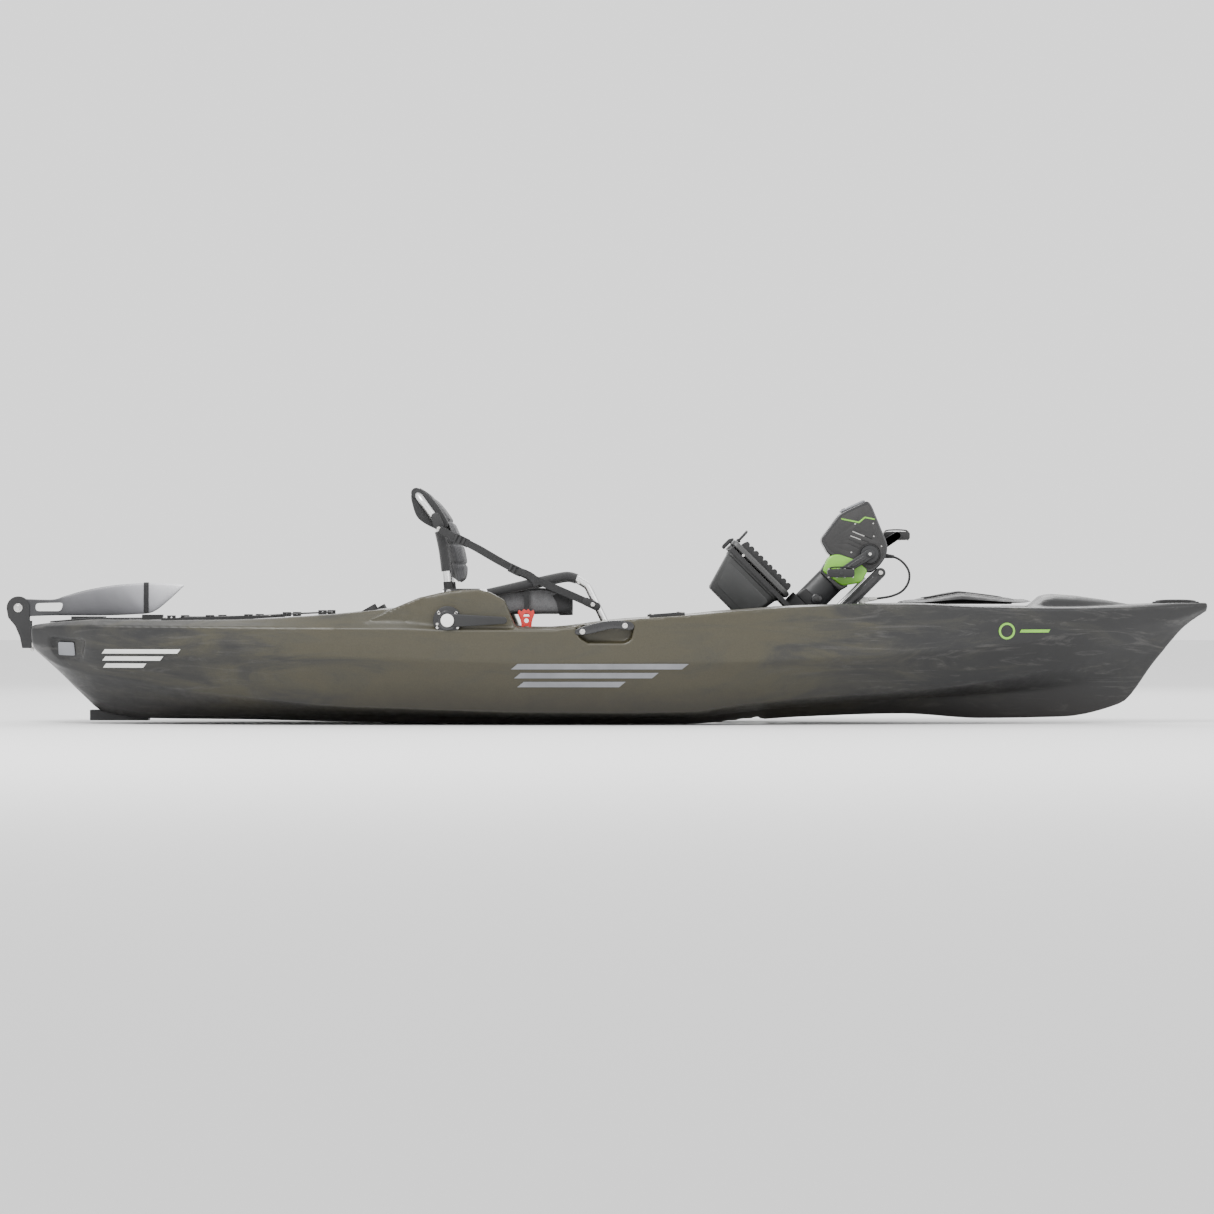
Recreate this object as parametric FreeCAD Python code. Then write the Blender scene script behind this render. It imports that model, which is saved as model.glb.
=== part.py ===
"""Sit-on-top fishing kayak with a fold-up pedal drive, framed seat, console box and flip-up rudder.

Millimetres. +X is the bow, +Y is port, +Z is up. The hull rests on Z = 0 and the origin is under the
middle of the whole length. The drive is drawn as it stands in use and is then turned up to its parked pose.
"""
import FreeCAD
import Part
import math
import os

V = FreeCAD.Vector
UP = V(0, 0, 1)
PORT = V(0, 1, 0)
FORWARD = V(1, 0, 0)
CENTRE = V(0, 0, 0)

# Driving dimensions
HULL_LENGTH = 4013.0
BEAM = 914.0
STERN_X = -1955.0
BOW_X = STERN_X + HULL_LENGTH
HULL_WALL = 5.0
FACE_GAP = 0.3
RUNNING_GAP = 0.05

COCKPIT_AFT_X = -640.0
COCKPIT_FORWARD_X = 560.0
COCKPIT_HALF_WIDTH = 270.0
FLOOR_Z = 92.0
SHELF_FORWARD_X = 950.0
SHELF_HALF_WIDTH = 200.0
SHELF_Z = 230.0
SLOT_HALF_WIDTH = 52.0
PROP_BAY_HALF_WIDTH = 122.0
PROP_BAY_AFT_X = 200.0
PROP_BAY_FORWARD_X = 530.0
SLOT_AFT_X = 500.0
SLOT_FORWARD_X = 715.0
TANK_WELL_AFT_X = -1490.0
TANK_WELL_FORWARD_X = -930.0
TANK_WELL_HALF_WIDTH = 230.0
TANK_WELL_FLOOR_Z = 200.0
SCUPPER_R = 17.0
SCUPPER_Y = 150.0

SEAT_TUBE_R = 12.5
SEAT_HALF_WIDTH = 215.0
SEAT_SIDE_GAP = 3.0
SEAT_BACK_HALF_WIDTH = SEAT_HALF_WIDTH - 2 * SEAT_TUBE_R - SEAT_SIDE_GAP
SEAT_PIVOT = V(-535, 0, 449)
PIVOT_BOLT_R = 5.0

DOCK_PIVOT = V(792, 0, 285)
DOCK_TILT = 45.0
DOCK_PIN_R = 8.0
TRAY_Z = 236.0
TRAY_THICKNESS = 16.0
TRAY_HALF_WIDTH = 128.0
LEG_X = 629.0
LEG_CHORD = 100.0
LEG_THICKNESS = 52.0
PROP_Z = -147.0
PROP_R = 110.0
HEAD_HALF_WIDTH = 60.0
COVER_WALL = 4.0
HUB_X = 659.0
HUB_Z = 567.0
SPINDLE_R = 10.0
CRANK_RADIUS = 122.0
CRANK_ANGLE = -102.5
PEDAL_AXLE_R = 6.0

RUDDER_PIN_X = STERN_X - 16.0
RUDDER_PIN_R = 4.0
BLADE_PIVOT = V(STERN_X - 63.5, 0, 395)
BLADE_HALF_THICKNESS = 6.0
BLADE_BOLT_R = 5.0

HATCH_AFT_X = 1005.0
HATCH_FORWARD_X = 1440.0
HATCH_HALF_WIDTH = 165.0
HATCH_SEAT_DEPTH = 3.0
HATCH_TUB_AFT_X = 1070.0
HATCH_TUB_FORWARD_X = 1350.0
HATCH_TUB_HALF_WIDTH = 125.0
HATCH_TUB_FLOOR_Z = 235.0
SEAL_HEIGHT = 4.0
POD_OUTER_Y = BEAM / 2 - 19.0
POD_INNER_Y = BEAM / 2 - 172.0
HANDLE_INNER_Y = BEAM / 2 - 11.0
HANDLE_THICKNESS = 14.0
HANDLE_RECESS_DEPTH = 21.0
ROD_X = -800.0
ROD_Y = BEAM / 2 - 127.0
ROD_TILT = V(-0.5, 0, 0.866)
ROD_R = 24.0
ROD_DEPTH = 190.0
ROD_WALL = 3.0
STEER_PIVOT = V(-532, 0, 353)
CABLE_R = 4.0
CABLE_Y = -20.0

# Hull stations: distance from the transom, then keel height, half width of the flat bottom, and the
# half width and height of the bilge, the chine, the two side creases, the gunwale and the shoulder;
# the last value is the height of the deck on the centre line. All are for the length and beam below.
DRAWN_LENGTH = 4013.0
DRAWN_BEAM = 914.0
STATIONS = [
    (0, 250, 40, 70, 254, 112, 262, 150, 276, 165, 302, 168, 324, 150, 336, 339),
    (79, 180, 45, 90, 188, 160, 208, 212, 262, 226, 313, 230, 333, 198, 345, 348),
    (161, 100, 50, 108, 118, 200, 182, 262, 258, 276, 308, 280, 334, 240, 352, 355),
    (235, 40, 55, 118, 72, 232, 170, 306, 254, 320, 300, 326, 335, 280, 356, 359),
    (401, 18, 70, 135, 38, 278, 141, 350, 246, 366, 285, 372, 333, 322, 353, 357),
    (710, 15, 90, 160, 28, 332, 100, 405, 238, 420, 277, 427, 330, 372, 356, 358),
    (1039, 8, 110, 182, 34, 345, 66, 440, 232, 450, 277, 455, 326, 398, 374, 377),
    (1259, 4, 120, 190, 30, 350, 57, 446, 224, 454, 272, 457, 323, 402, 392, 397),
    (1410, 2, 130, 192, 27, 352, 52, 448, 218, 455, 268, 457, 322, 402, 350, 352),
    (1742, 0, 135, 195, 20, 355, 43, 452, 211, 457, 267, 457, 322, 402, 330, 331),
    (1985, 0, 135, 193, 20, 354, 42, 452, 211, 457, 267, 457, 352, 402, 356, 357),
    (2240, 0, 132, 188, 22, 348, 46, 448, 212, 454, 272, 455, 371, 398, 375, 376),
    (2373, 8, 120, 172, 38, 332, 64, 432, 214, 440, 287, 442, 383, 388, 388, 390),
    (2620, 24, 100, 150, 60, 300, 89, 405, 223, 415, 311, 419, 399, 362, 404, 406),
    (2960, 34, 70, 115, 84, 252, 112, 350, 240, 362, 342, 367, 408, 312, 411, 413),
    (3234, 18, 45, 85, 100, 200, 144, 287, 262, 302, 360, 307, 397, 256, 402, 404),
    (3509, 22, 26, 55, 125, 138, 195, 208, 298, 226, 366, 231, 393, 192, 399, 402),
    (3715, 68, 14, 34, 175, 82, 254, 136, 330, 156, 374, 161, 394, 131, 403, 408),
    (3835, 215, 9, 22, 252, 50, 300, 86, 346, 101, 380, 105, 398, 85, 408, 412),
    (3938, 333, 5, 12, 342, 27, 354, 46, 368, 55, 387, 58, 402, 47, 411, 414),
    (4013, 384, 2, 5, 387, 10, 390, 17, 395, 20, 401, 21, 407, 17, 411, 413),
]


def station_x(station):
    return STERN_X + station[0] * HULL_LENGTH / DRAWN_LENGTH


def station_outline(station):
    """The starboard-to-port outline of one section as (y, z) points, anticlockwise from the flat bottom."""
    widen = BEAM / DRAWN_BEAM
    half = [(station[2] * widen, station[1])]
    for index in range(3, 15, 2):
        half.append((station[index] * widen, station[index + 1]))
    port = half + [(0, station[15])]
    starboard = [(-y, z) for y, z in reversed(half)]
    return port + starboard


def inset_outline(outline, wall):
    """The outline moved inwards by the wall, side by side."""
    moved = []
    count = len(outline)
    for index in range(count):
        before = outline[index - 1]
        here = outline[index]
        after = outline[(index + 1) % count]
        first = V(here[0] - before[0], here[1] - before[1], 0).normalize()
        second = V(after[0] - here[0], after[1] - here[1], 0).normalize()
        first_in = V(-first.y, first.x, 0)
        second_in = V(-second.y, second.x, 0)
        reach = wall / (1 + first_in.dot(second_in))
        inward = (first_in + second_in) * reach
        moved.append((here[0] + inward.x, here[1] + inward.y))
    return moved


def section_wire(x, outline):
    points = [V(x, y, z) for y, z in outline]
    return Part.makePolygon(points + points[:1])


def rail_at(x, column):
    """Height or half width of the hull at x, read between the stations."""
    at = (x - STERN_X) * DRAWN_LENGTH / HULL_LENGTH
    for low, high in zip(STATIONS, STATIONS[1:]):
        if low[0] <= at <= high[0]:
            share = (at - low[0]) / (high[0] - low[0])
            return low[column] + share * (high[column] - low[column])
    return STATIONS[-1][column]


def deck_z(x):
    return rail_at(x, 14)


HATCH_SEAT_Z = deck_z(HATCH_AFT_X) - HATCH_SEAT_DEPTH


def box(x0, x1, y0, y1, z0, z1):
    return Part.makeBox(x1 - x0, y1 - y0, z1 - z0, V(x0, y0, z0))


def round_box(x0, x1, y0, y1, z0, z1, radius):
    """A box with its upright edges rounded."""
    solid = box(x0, x1, y0, y1, z0, z1)
    edges = [e for e in solid.Edges if abs(e.Vertexes[0].Z - e.Vertexes[1].Z) > 1e-6]
    return solid.makeFillet(radius, edges)


def soft_box(x0, x1, y0, y1, z0, z1, radius):
    solid = box(x0, x1, y0, y1, z0, z1)
    return solid.makeFillet(radius, solid.Edges)


def cylinder(start, axis, radius, length):
    return Part.makeCylinder(radius, length, start, axis)


def cross_cylinder(x, z, radius, y0, y1):
    return cylinder(V(x, y0, z), PORT, radius, y1 - y0)


def side_face(points):
    """A flat face in the XZ plane from (x, z) points."""
    corners = [V(x, 0, z) for x, z in points]
    return Part.Face(Part.makePolygon(corners + corners[:1]))


def side_prism(points, y0, y1, inset=0.0):
    """An XZ outline carried across from y0 to y1."""
    face = side_face(points)
    if inset:
        face = face.makeOffset2D(-inset)
    solid = face.extrude(V(0, y1 - y0, 0))
    solid.translate(V(0, y0, 0))
    return solid


def side_round_prism(points, y0, y1, radius):
    solid = side_prism(points, y0, y1)
    edges = [e for e in solid.Edges if abs(e.Vertexes[0].Y - e.Vertexes[1].Y) > 1e-6]
    return solid.makeFillet(radius, edges)


def capsule(start, end, radius, y0, y1):
    """A flat bar with round ends between two (x, z) points."""
    run = V(end[0] - start[0], 0, end[1] - start[1])
    side = V(-run.z, 0, run.x).normalize() * radius
    a = V(start[0], 0, start[1])
    b = V(end[0], 0, end[1])
    corners = [(p.x, p.z) for p in (a + side, a - side, b - side, b + side)]
    bar = side_prism(corners, y0, y1)
    bar = bar.fuse(cross_cylinder(start[0], start[1], radius, y0, y1))
    return bar.fuse(cross_cylinder(end[0], end[1], radius, y0, y1)).removeSplitter()


def rounded_path(points, bend, limit=False):
    """Straight runs joined by tangent arcs; with limit, each arc is as large as its two runs allow."""
    edges = []
    start = points[0]
    for before, corner, after in zip(points, points[1:], points[2:]):
        into = (corner - before).normalize()
        out = (after - corner).normalize()
        turn = into.getAngle(out)
        if limit:
            shorter = min((corner - before).Length, (after - corner).Length)
            radius = 0.45 * shorter / math.tan(turn / 2)
        else:
            radius = bend
        trim = radius * math.tan(turn / 2)
        enter = corner - into * trim
        leave = corner + out * trim
        inward = (out - into).normalize()
        middle = corner + inward * (radius / math.cos(turn / 2) - radius)
        edges.append(Part.LineSegment(start, enter).toShape())
        edges.append(Part.Arc(enter, middle, leave).toShape())
        start = leave
    edges.append(Part.LineSegment(start, points[-1]).toShape())
    return Part.Wire(edges)


def tube(points, radius, bend, limit=False):
    path = rounded_path(points, bend, limit)
    along = (points[1] - points[0]).normalize()
    ring = Part.Wire([Part.Circle(points[0], along, radius).toShape()])
    return path.makePipeShell([ring], True, False)


def mirrored(shape):
    return shape.mirror(CENTRE, PORT)


def both_sides(shape):
    return [shape, mirrored(shape)]


def joined(shapes):
    result = shapes[0]
    for shape in shapes[1:]:
        result = result.fuse(shape)
    return result.removeSplitter()


def parked(shape):
    """Turn a piece of the drive from its working pose up to its parked pose."""
    turned = shape.copy()
    turned.rotate(DOCK_PIVOT, V(0, -1, 0), -DOCK_TILT)
    return turned


def save(name, shapes):
    solids = shapes if isinstance(shapes, list) else [shapes]
    pieces = []
    for shape in solids:
        pieces.extend(shape.Solids)
    result = pieces[0] if len(pieces) == 1 else Part.makeCompound(pieces)
    result.exportStep("parts/" + name + ".step")
    volume = sum(piece.Volume for piece in pieces)
    print(name, len(pieces), result.isValid(), round(volume / 1000), "cm3")


# Hull

def pod_outline():
    return [(-833, 300), (-833, 336), (-707, 398), (-624, 432), (-552, 449), (-497, 456), (-432, 460),
            (-391, 449), (-343, 422), (-322, 370), (-302, 322), (-302, 300)]


def bow_hump():
    top = [(1444, 380), (1444, 398), (1485, 439), (1516, 444), (1600, 440), (1821, 401), (1821, 380)]
    plan = [V(1444, -170, 370), V(1820, -58, 370), V(1820, 58, 370), V(1444, 170, 370)]
    taper = Part.Face(Part.makePolygon(plan + plan[:1])).extrude(V(0, 0, 90))
    return side_prism(top, -175, 175).common(taper)


def hull_recesses(grow):
    """Every hollow of the deck as a solid, grown by the wall for the inner skin."""
    top = 600.0
    shapes = [
        round_box(COCKPIT_AFT_X - grow, COCKPIT_FORWARD_X + grow, -COCKPIT_HALF_WIDTH - grow,
                  COCKPIT_HALF_WIDTH + grow, FLOOR_Z - grow, top, 60),
        round_box(COCKPIT_FORWARD_X - 40, SHELF_FORWARD_X + grow, -SHELF_HALF_WIDTH - grow,
                  SHELF_HALF_WIDTH + grow, SHELF_Z - grow, top, 38),
        round_box(PROP_BAY_AFT_X - grow, PROP_BAY_FORWARD_X + grow, -PROP_BAY_HALF_WIDTH - grow,
                  PROP_BAY_HALF_WIDTH + grow, -50, 300, 30),
        round_box(SLOT_AFT_X, SLOT_FORWARD_X + grow, -SLOT_HALF_WIDTH - grow, SLOT_HALF_WIDTH + grow,
                  -50, 400, 20),
        round_box(TANK_WELL_AFT_X - grow, TANK_WELL_FORWARD_X + grow, -TANK_WELL_HALF_WIDTH - grow,
                  TANK_WELL_HALF_WIDTH + grow, TANK_WELL_FLOOR_Z - grow, top, 60),
        round_box(HATCH_TUB_AFT_X - grow, HATCH_TUB_FORWARD_X + grow, -HATCH_TUB_HALF_WIDTH - grow,
                  HATCH_TUB_HALF_WIDTH + grow, HATCH_TUB_FLOOR_Z - grow, top, 40),
    ]
    for side in (-1, 1):
        shapes.append(rod_bore(side, grow))
        depth = HANDLE_INNER_Y - HANDLE_RECESS_DEPTH - grow
        y0, y1 = sorted((side * depth, side * (HANDLE_INNER_Y + 74)))
        shapes.append(side_round_prism([(-103 - grow, 278 - grow), (89 + grow, 278 - grow),
                                        (89 + grow, 338), (-103 - grow, 338)], y0, y1, 12))
    for x in (-1420, -1000, -560):
        for y in (-SCUPPER_Y, SCUPPER_Y):
            shapes.append(cylinder(V(x, y, -50), UP, SCUPPER_R + grow, 400))
    return shapes


def rod_bore(side, grow):
    start = V(ROD_X, side * ROD_Y, deck_z(ROD_X)) - ROD_TILT * (ROD_DEPTH + grow)
    return cylinder(start, ROD_TILT, ROD_R + grow, ROD_DEPTH + 200)


def hull_blank():
    wires = [section_wire(station_x(s), station_outline(s)) for s in STATIONS]
    blank = Part.makeLoft(wires, True, True)
    for side in (-1, 1):
        span = sorted((side * POD_INNER_Y, side * POD_OUTER_Y))
        pod = side_prism(pod_outline(), span[0], span[1])
        top = [e for e in pod.Edges if e.BoundBox.YLength < 1e-6 and e.BoundBox.ZMin > 340]
        blank = blank.fuse(pod.makeFillet(14, top))
    blank = blank.fuse(bow_hump())
    return blank.cut(box(HATCH_AFT_X - 5, HATCH_FORWARD_X + 4, -HATCH_HALF_WIDTH - 6, HATCH_HALF_WIDTH + 6,
                         HATCH_SEAT_Z, 600))


def hull_void():
    inner = STATIONS[1:-2]
    wires = [section_wire(station_x(s), inset_outline(station_outline(s), HULL_WALL)) for s in inner]
    void = Part.makeLoft(wires, True, True)
    for side in (-1, 1):
        span = sorted((side * (POD_INNER_Y + HULL_WALL), side * (POD_OUTER_Y - HULL_WALL)))
        void = void.fuse(side_prism(pod_outline(), span[0], span[1], HULL_WALL))
    return void.cut(box(HATCH_AFT_X - 30, HATCH_FORWARD_X + 30, -HATCH_HALF_WIDTH - 12, HATCH_HALF_WIDTH + 12,
                        HATCH_SEAT_Z - HULL_WALL, 600))


outer = hull_blank()
for hollow in hull_recesses(0.0):
    outer = outer.cut(hollow)
void = hull_void()
for hollow in hull_recesses(HULL_WALL):
    void = void.cut(hollow)
hull = outer.cut(void)


def seated(shape):
    """A deck fitting trimmed to lie on the hull."""
    return shape.cut(outer)


os.makedirs("parts", exist_ok=True)
save("hull_shell", hull)


# Deck fittings

RAIL_AFT_Y = BEAM / 2 - 157.0
RAIL_FORWARD_Y = BEAM / 2 - 39.0
RAIL_WIDTH = 22.0
RAIL_HEIGHT = 7.0
SCREW_R = 3.0
SCREW_HEAD_R = 5.5
SCREW_HEAD_HEIGHT = 2.5
STEER_BASE_R = 48.0
STEER_BASE_THICKNESS = 17.5
STEER_SPINDLE_R = 8.0
LEVER_THICKNESS = 9.0
LEVER_LENGTH = 199.0
LEVER_INNER_Y = POD_OUTER_Y + STEER_BASE_THICKNESS + FACE_GAP + SCREW_HEAD_HEIGHT
CAP_THICKNESS = 7.0
HANDLE_BOLTS = ((-82, 316), (60, 336))
BRACKET_THICKNESS = 4.0
BLADE_REST_Z = 372.0
EYE_XS = (-1470, -1340, -1210, -1080, -960)
EYE_Y = BEAM / 2 - 202.0
EYE_R = 3.4


def screw(seat, axis, shank, head_r=SCREW_HEAD_R, shank_r=SCREW_R):
    """A button-head screw whose head sits at seat and whose shank runs back into the hull."""
    head = cylinder(seat, axis, head_r, SCREW_HEAD_HEIGHT)
    return seated(head.fuse(cylinder(seat - axis * shank, axis, shank_r, shank)))


def rail_top(x):
    return deck_z(x) + RAIL_HEIGHT


def rail_screws():
    screws = []
    for x in (-1490, -1135):
        screws.extend(both_sides(screw(V(x, RAIL_AFT_Y, rail_top(x)), UP, 20)))
    for x in (152, 250):
        screws.extend(both_sides(screw(V(x, RAIL_FORWARD_Y, rail_top(x)), UP, 20)))
    return screws


def steering_screws():
    screws = []
    for dx, dz in ((-28, 24), (28, 24), (-34, -12), (34, -12)):
        seat = V(STEER_PIVOT.x + dx, POD_OUTER_Y + STEER_BASE_THICKNESS, STEER_PIVOT.z + dz)
        screws.extend(both_sides(screw(seat, PORT, STEER_BASE_THICKNESS, 4.5)))
    return screws


def handle_screws():
    screws = []
    for x, z in HANDLE_BOLTS:
        screws.extend(both_sides(screw(V(x, HANDLE_INNER_Y + HANDLE_THICKNESS, z), PORT, 40, 9, 4)))
    return screws


def bracket_screws():
    return [screw(V(STERN_X - BRACKET_THICKNESS, y, z), V(-1, 0, 0), BRACKET_THICKNESS)
            for y in (-26, 26) for z in (268, 318)]


def gunwale_rails(screws):
    rails = []
    for x0, x1, y in ((-1500, -1125, RAIL_AFT_Y), (142, 260, RAIL_FORWARD_Y)):
        profile = [(x0, rail_top(x0) - 35), (x0, rail_top(x0)), (x1, rail_top(x1)), (x1, rail_top(x1) - 35)]
        rail = side_prism(profile, y - RAIL_WIDTH / 2, y + RAIL_WIDTH / 2)
        rail = rail.cut(box(x0 + 18, x1 - 18, y - 4, y + 4, 0, 600))
        rails.extend(both_sides(seated(rail)))
    return [rail.cut(Part.makeCompound(screws)) for rail in rails]


def steering_base(screws):
    x, z = STEER_PIVOT.x, STEER_PIVOT.z
    base = cross_cylinder(x, z, STEER_BASE_R, POD_OUTER_Y, POD_OUTER_Y + STEER_BASE_THICKNESS)
    base = base.cut(box(x - 100, x + 100, 400, 500, z - 100, z - 27))
    return seated(base).cut(Part.makeCompound(screws))


def steering_lever():
    x, z = STEER_PIVOT.x, STEER_PIVOT.z
    outer_y = LEVER_INNER_Y + LEVER_THICKNESS
    tip = x + LEVER_LENGTH
    hub = cross_cylinder(x, z, 26, LEVER_INNER_Y, outer_y)
    arm = side_round_prism([(x, z - 11), (x, z + 11), (tip, z + 9), (tip, z - 9)], LEVER_INNER_Y, outer_y, 4)
    return hub.fuse(arm).removeSplitter()


def steering_cap():
    inner = LEVER_INNER_Y + LEVER_THICKNESS
    cap = cross_cylinder(STEER_PIVOT.x, STEER_PIVOT.z, 22, inner, inner + CAP_THICKNESS)
    return cap.makeFillet(3, [e for e in cap.Edges if e.BoundBox.YMin > inner + CAP_THICKNESS - 1])


def steering_spindle_boss():
    """The pin that stands out of the base and carries the lever's hub."""
    inner = POD_OUTER_Y + STEER_BASE_THICKNESS
    return cross_cylinder(STEER_PIVOT.x, STEER_PIVOT.z, STEER_SPINDLE_R, inner, LEVER_INNER_Y + 6)


def side_handle(screws):
    outline = [(-100, 306), (-104, 322), (-60, 339), (7, 352), (80, 348), (84, 322), (20, 326), (-60, 308)]
    handle = side_prism(outline, HANDLE_INNER_Y, HANDLE_INNER_Y + HANDLE_THICKNESS)
    return seated(handle).cut(Part.makeCompound(screws))


def rod_holder():
    mouth = V(ROD_X, ROD_Y, deck_z(ROD_X))
    cup = cylinder(mouth - ROD_TILT * (ROD_DEPTH - 5), ROD_TILT, ROD_R, ROD_DEPTH)
    flange = seated(cylinder(mouth - ROD_TILT * 14, ROD_TILT, ROD_R + 8, 26))
    holder = cup.fuse(flange)
    return holder.cut(cylinder(mouth - ROD_TILT * (ROD_DEPTH - 9), ROD_TILT, ROD_R - ROD_WALL, 300))


def deck_pads():
    pads = []
    for x0, x1, y0, y1 in ((-300, 170, 20, 150), (200, 520, 150, 250)):
        pads.extend(both_sides(round_box(x0, x1, y0, y1, FLOOR_Z, FLOOR_Z + 4, 12)))
    return pads


def bow_handle():
    x0, x1 = BOW_X - 190, BOW_X - 26
    middle = (x0 + x1) / 2
    strap = side_prism([(x0, 395), (x0, deck_z(x0) + 13), (middle, 424), (x1, deck_z(x1) + 12), (x1, 395)],
                       -12, 12)
    slack = side_prism([(x0 + 24, 395), (x0 + 24, deck_z(x0) + 8), (middle, 419),
                        (x1 - 24, deck_z(x1) + 7), (x1 - 24, 395)], -13, 13)
    return seated(strap.cut(slack))


def stern_rest():
    """Saddle under the stowed blade, and the low channel block behind it."""
    saddle = box(STERN_X + 362, STERN_X + 432, -22, 22, 330, BLADE_REST_Z)
    channel = box(STERN_X + 122, STERN_X + 233, -45, 45, 330, 366)
    return [seated(saddle), seated(channel)]


def eye_z(x):
    return deck_z(x) + 9


def bungee_pad_eyes():
    eyes = []
    for x in EYE_XS:
        z = eye_z(x)
        pad = seated(box(x - 14, x + 14, EYE_Y - 9, EYE_Y + 9, z - 30, z + 7))
        eyes.extend(both_sides(pad.cut(cylinder(V(x, EYE_Y - 20, z), PORT, EYE_R, 40))))
    return eyes


def bungee_cord():
    side = 1
    points = []
    for x in EYE_XS:
        points.append(V(x, side * (EYE_Y - 9 - FACE_GAP), eye_z(x)))
        side = -side
    return tube(points, 3, 6)


# Front hatch

def front_hatch_seal():
    ring = round_box(1040, 1380, -150, 150, HATCH_SEAT_Z, HATCH_SEAT_Z + SEAL_HEIGHT, 55)
    return ring.cut(round_box(1054, 1366, -136, 136, HATCH_SEAT_Z - 1, HATCH_SEAT_Z + SEAL_HEIGHT + 5, 42))


def front_hatch_lid():
    low = HATCH_SEAT_Z + SEAL_HEIGHT + FACE_GAP
    rise = HATCH_SEAT_Z
    outline = [(HATCH_AFT_X, low), (HATCH_AFT_X + 6, rise + 16), (1080, rise + 19), (1188, rise + 37),
               (1225, rise + 37), (1382, rise + 17), (1392, rise + 25), (HATCH_FORWARD_X, rise + 25),
               (HATCH_FORWARD_X, low)]
    lid = side_prism(outline, -HATCH_HALF_WIDTH, HATCH_HALF_WIDTH)
    corners = [e for e in lid.Edges if e.BoundBox.XLength < 1e-6 and e.BoundBox.YLength < 1e-6
               and e.BoundBox.ZLength > 10]
    lid = lid.makeFillet(30, [e for e in corners if e.BoundBox.XMin > HATCH_FORWARD_X - 1])
    return lid.cut(box(1052, 1368, -138, 138, low - 1, low + 4))


def hatch_straps():
    straps = []
    for side in (-1, 1):
        y0, y1 = sorted((side * 60, side * 92))
        rise = HATCH_SEAT_Z
        straps.append(side_prism([(1082, rise + 20), (1188, rise + 38), (1224, rise + 38), (1224, rise + 41),
                                  (1187, rise + 41), (1081, rise + 23)], y0, y1))
    return straps


# Rudder

def stern_bracket(screws):
    back = STERN_X - BRACKET_THICKNESS
    plate = box(back, STERN_X, -40, 40, 254, 331)
    lugs = []
    for z in (262, 312):
        lug = cylinder(V(RUDDER_PIN_X, 0, z), UP, 9, 14).fuse(box(RUDDER_PIN_X, back, -9, 9, z, z + 14))
        lugs.append(lug)
    bracket = joined([plate] + lugs)
    bracket = bracket.cut(cylinder(V(RUDDER_PIN_X, 0, 200), UP, RUDDER_PIN_R, 200))
    return bracket.cut(Part.makeCompound(screws))


def rudder_hinge_pin():
    pin = cylinder(V(RUDDER_PIN_X, 0, 252), UP, RUDDER_PIN_R, 77)
    pin = pin.fuse(cylinder(V(RUDDER_PIN_X, 0, 326 + FACE_GAP), UP, 8, 4))
    ring = Part.makeTorus(6, 1.1, V(RUDDER_PIN_X, 0, 253), PORT)
    return pin.fuse(ring)


def blade_disc(radius, y0, y1):
    return cross_cylinder(BLADE_PIVOT.x, BLADE_PIVOT.z, radius, y0, y1)


def rudder_head():
    x, z = BLADE_PIVOT.x, BLADE_PIVOT.z
    inner = BLADE_HALF_THICKNESS + FACE_GAP
    outline = [(x - 38, z - 12), (x - 34, z - 33), (x - 10, z - 62), (x + 6, z - 100), (x + 14, z - 138),
               (x + 46, z - 138), (x + 46, z - 44), (x + 38, z - 12)]
    plate = side_prism(outline, -12, 12).fuse(blade_disc(39.5, -12, 12))
    spine_x = x + 39.5
    plate = plate.cut(box(x - 60, spine_x, -inner, inner, z - 200, z + 60))
    plate = plate.cut(box(spine_x - 1, x + 80, -20, 20, z - 44, z + 60))
    knuckle = cylinder(V(RUDDER_PIN_X, 0, 276.5), UP, 9, 35)
    knuckle = knuckle.fuse(box(x + 42, RUDDER_PIN_X, -9, 9, 276.5, 311.5))
    head = plate.fuse(knuckle)
    head = head.cut(cylinder(V(RUDDER_PIN_X, 0, 200), UP, RUDDER_PIN_R + RUNNING_GAP, 200))
    head = head.cut(cylinder(V(RUDDER_PIN_X, 0, 240), UP, 11, 36))
    head = head.cut(cylinder(V(RUDDER_PIN_X, 0, 312), UP, 11, 60))
    return head.cut(blade_disc(BLADE_BOLT_R, -20, 20)).removeSplitter()


def rudder_pivot_bolt():
    bolt = blade_disc(BLADE_BOLT_R, -12, 12)
    return joined([bolt, blade_disc(9, 12, 16), blade_disc(9, -16, -12)])


def rudder_blade():
    x, z = BLADE_PIVOT.x, BLADE_PIVOT.z
    half = BLADE_HALF_THICKNESS
    outline = [(x, z + 37), (x + 161, z + 41), (x + 233, z + 61), (x + 332, z + 78), (x + 435, z + 84),
               (x + 560, z + 78), (x + 571, z + 66), (x + 555, z + 3), (x + 463, z - 17), (x + 298, z - 22),
               (x + 120, z - 22), (x, z - 30)]
    blade = side_prism(outline, -half, half).fuse(blade_disc(37.5, -half, half))
    slot = capsule((x + 75, z + 2), (x + 148, z + 2), 15, -20, 20)
    blade = blade.cut(slot).cut(blade_disc(BLADE_BOLT_R + RUNNING_GAP, -20, 20))
    return blade.removeSplitter()


def rudder_lines():
    """Steering lines, held along the deck edge from the steering stations to the stern."""
    y = 170.0
    height = 5.0
    lines = []
    for side in (-1, 1):
        points = [V(x, side * at, deck_z(x) + height) for x, at in
                  ((STERN_X + 60, 120), (STERN_X + 200, y), (STERN_X + 340, y + 60))]
        lines.append(seated(tube(points, 2.5, 30)))
    return lines


# Seat

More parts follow.
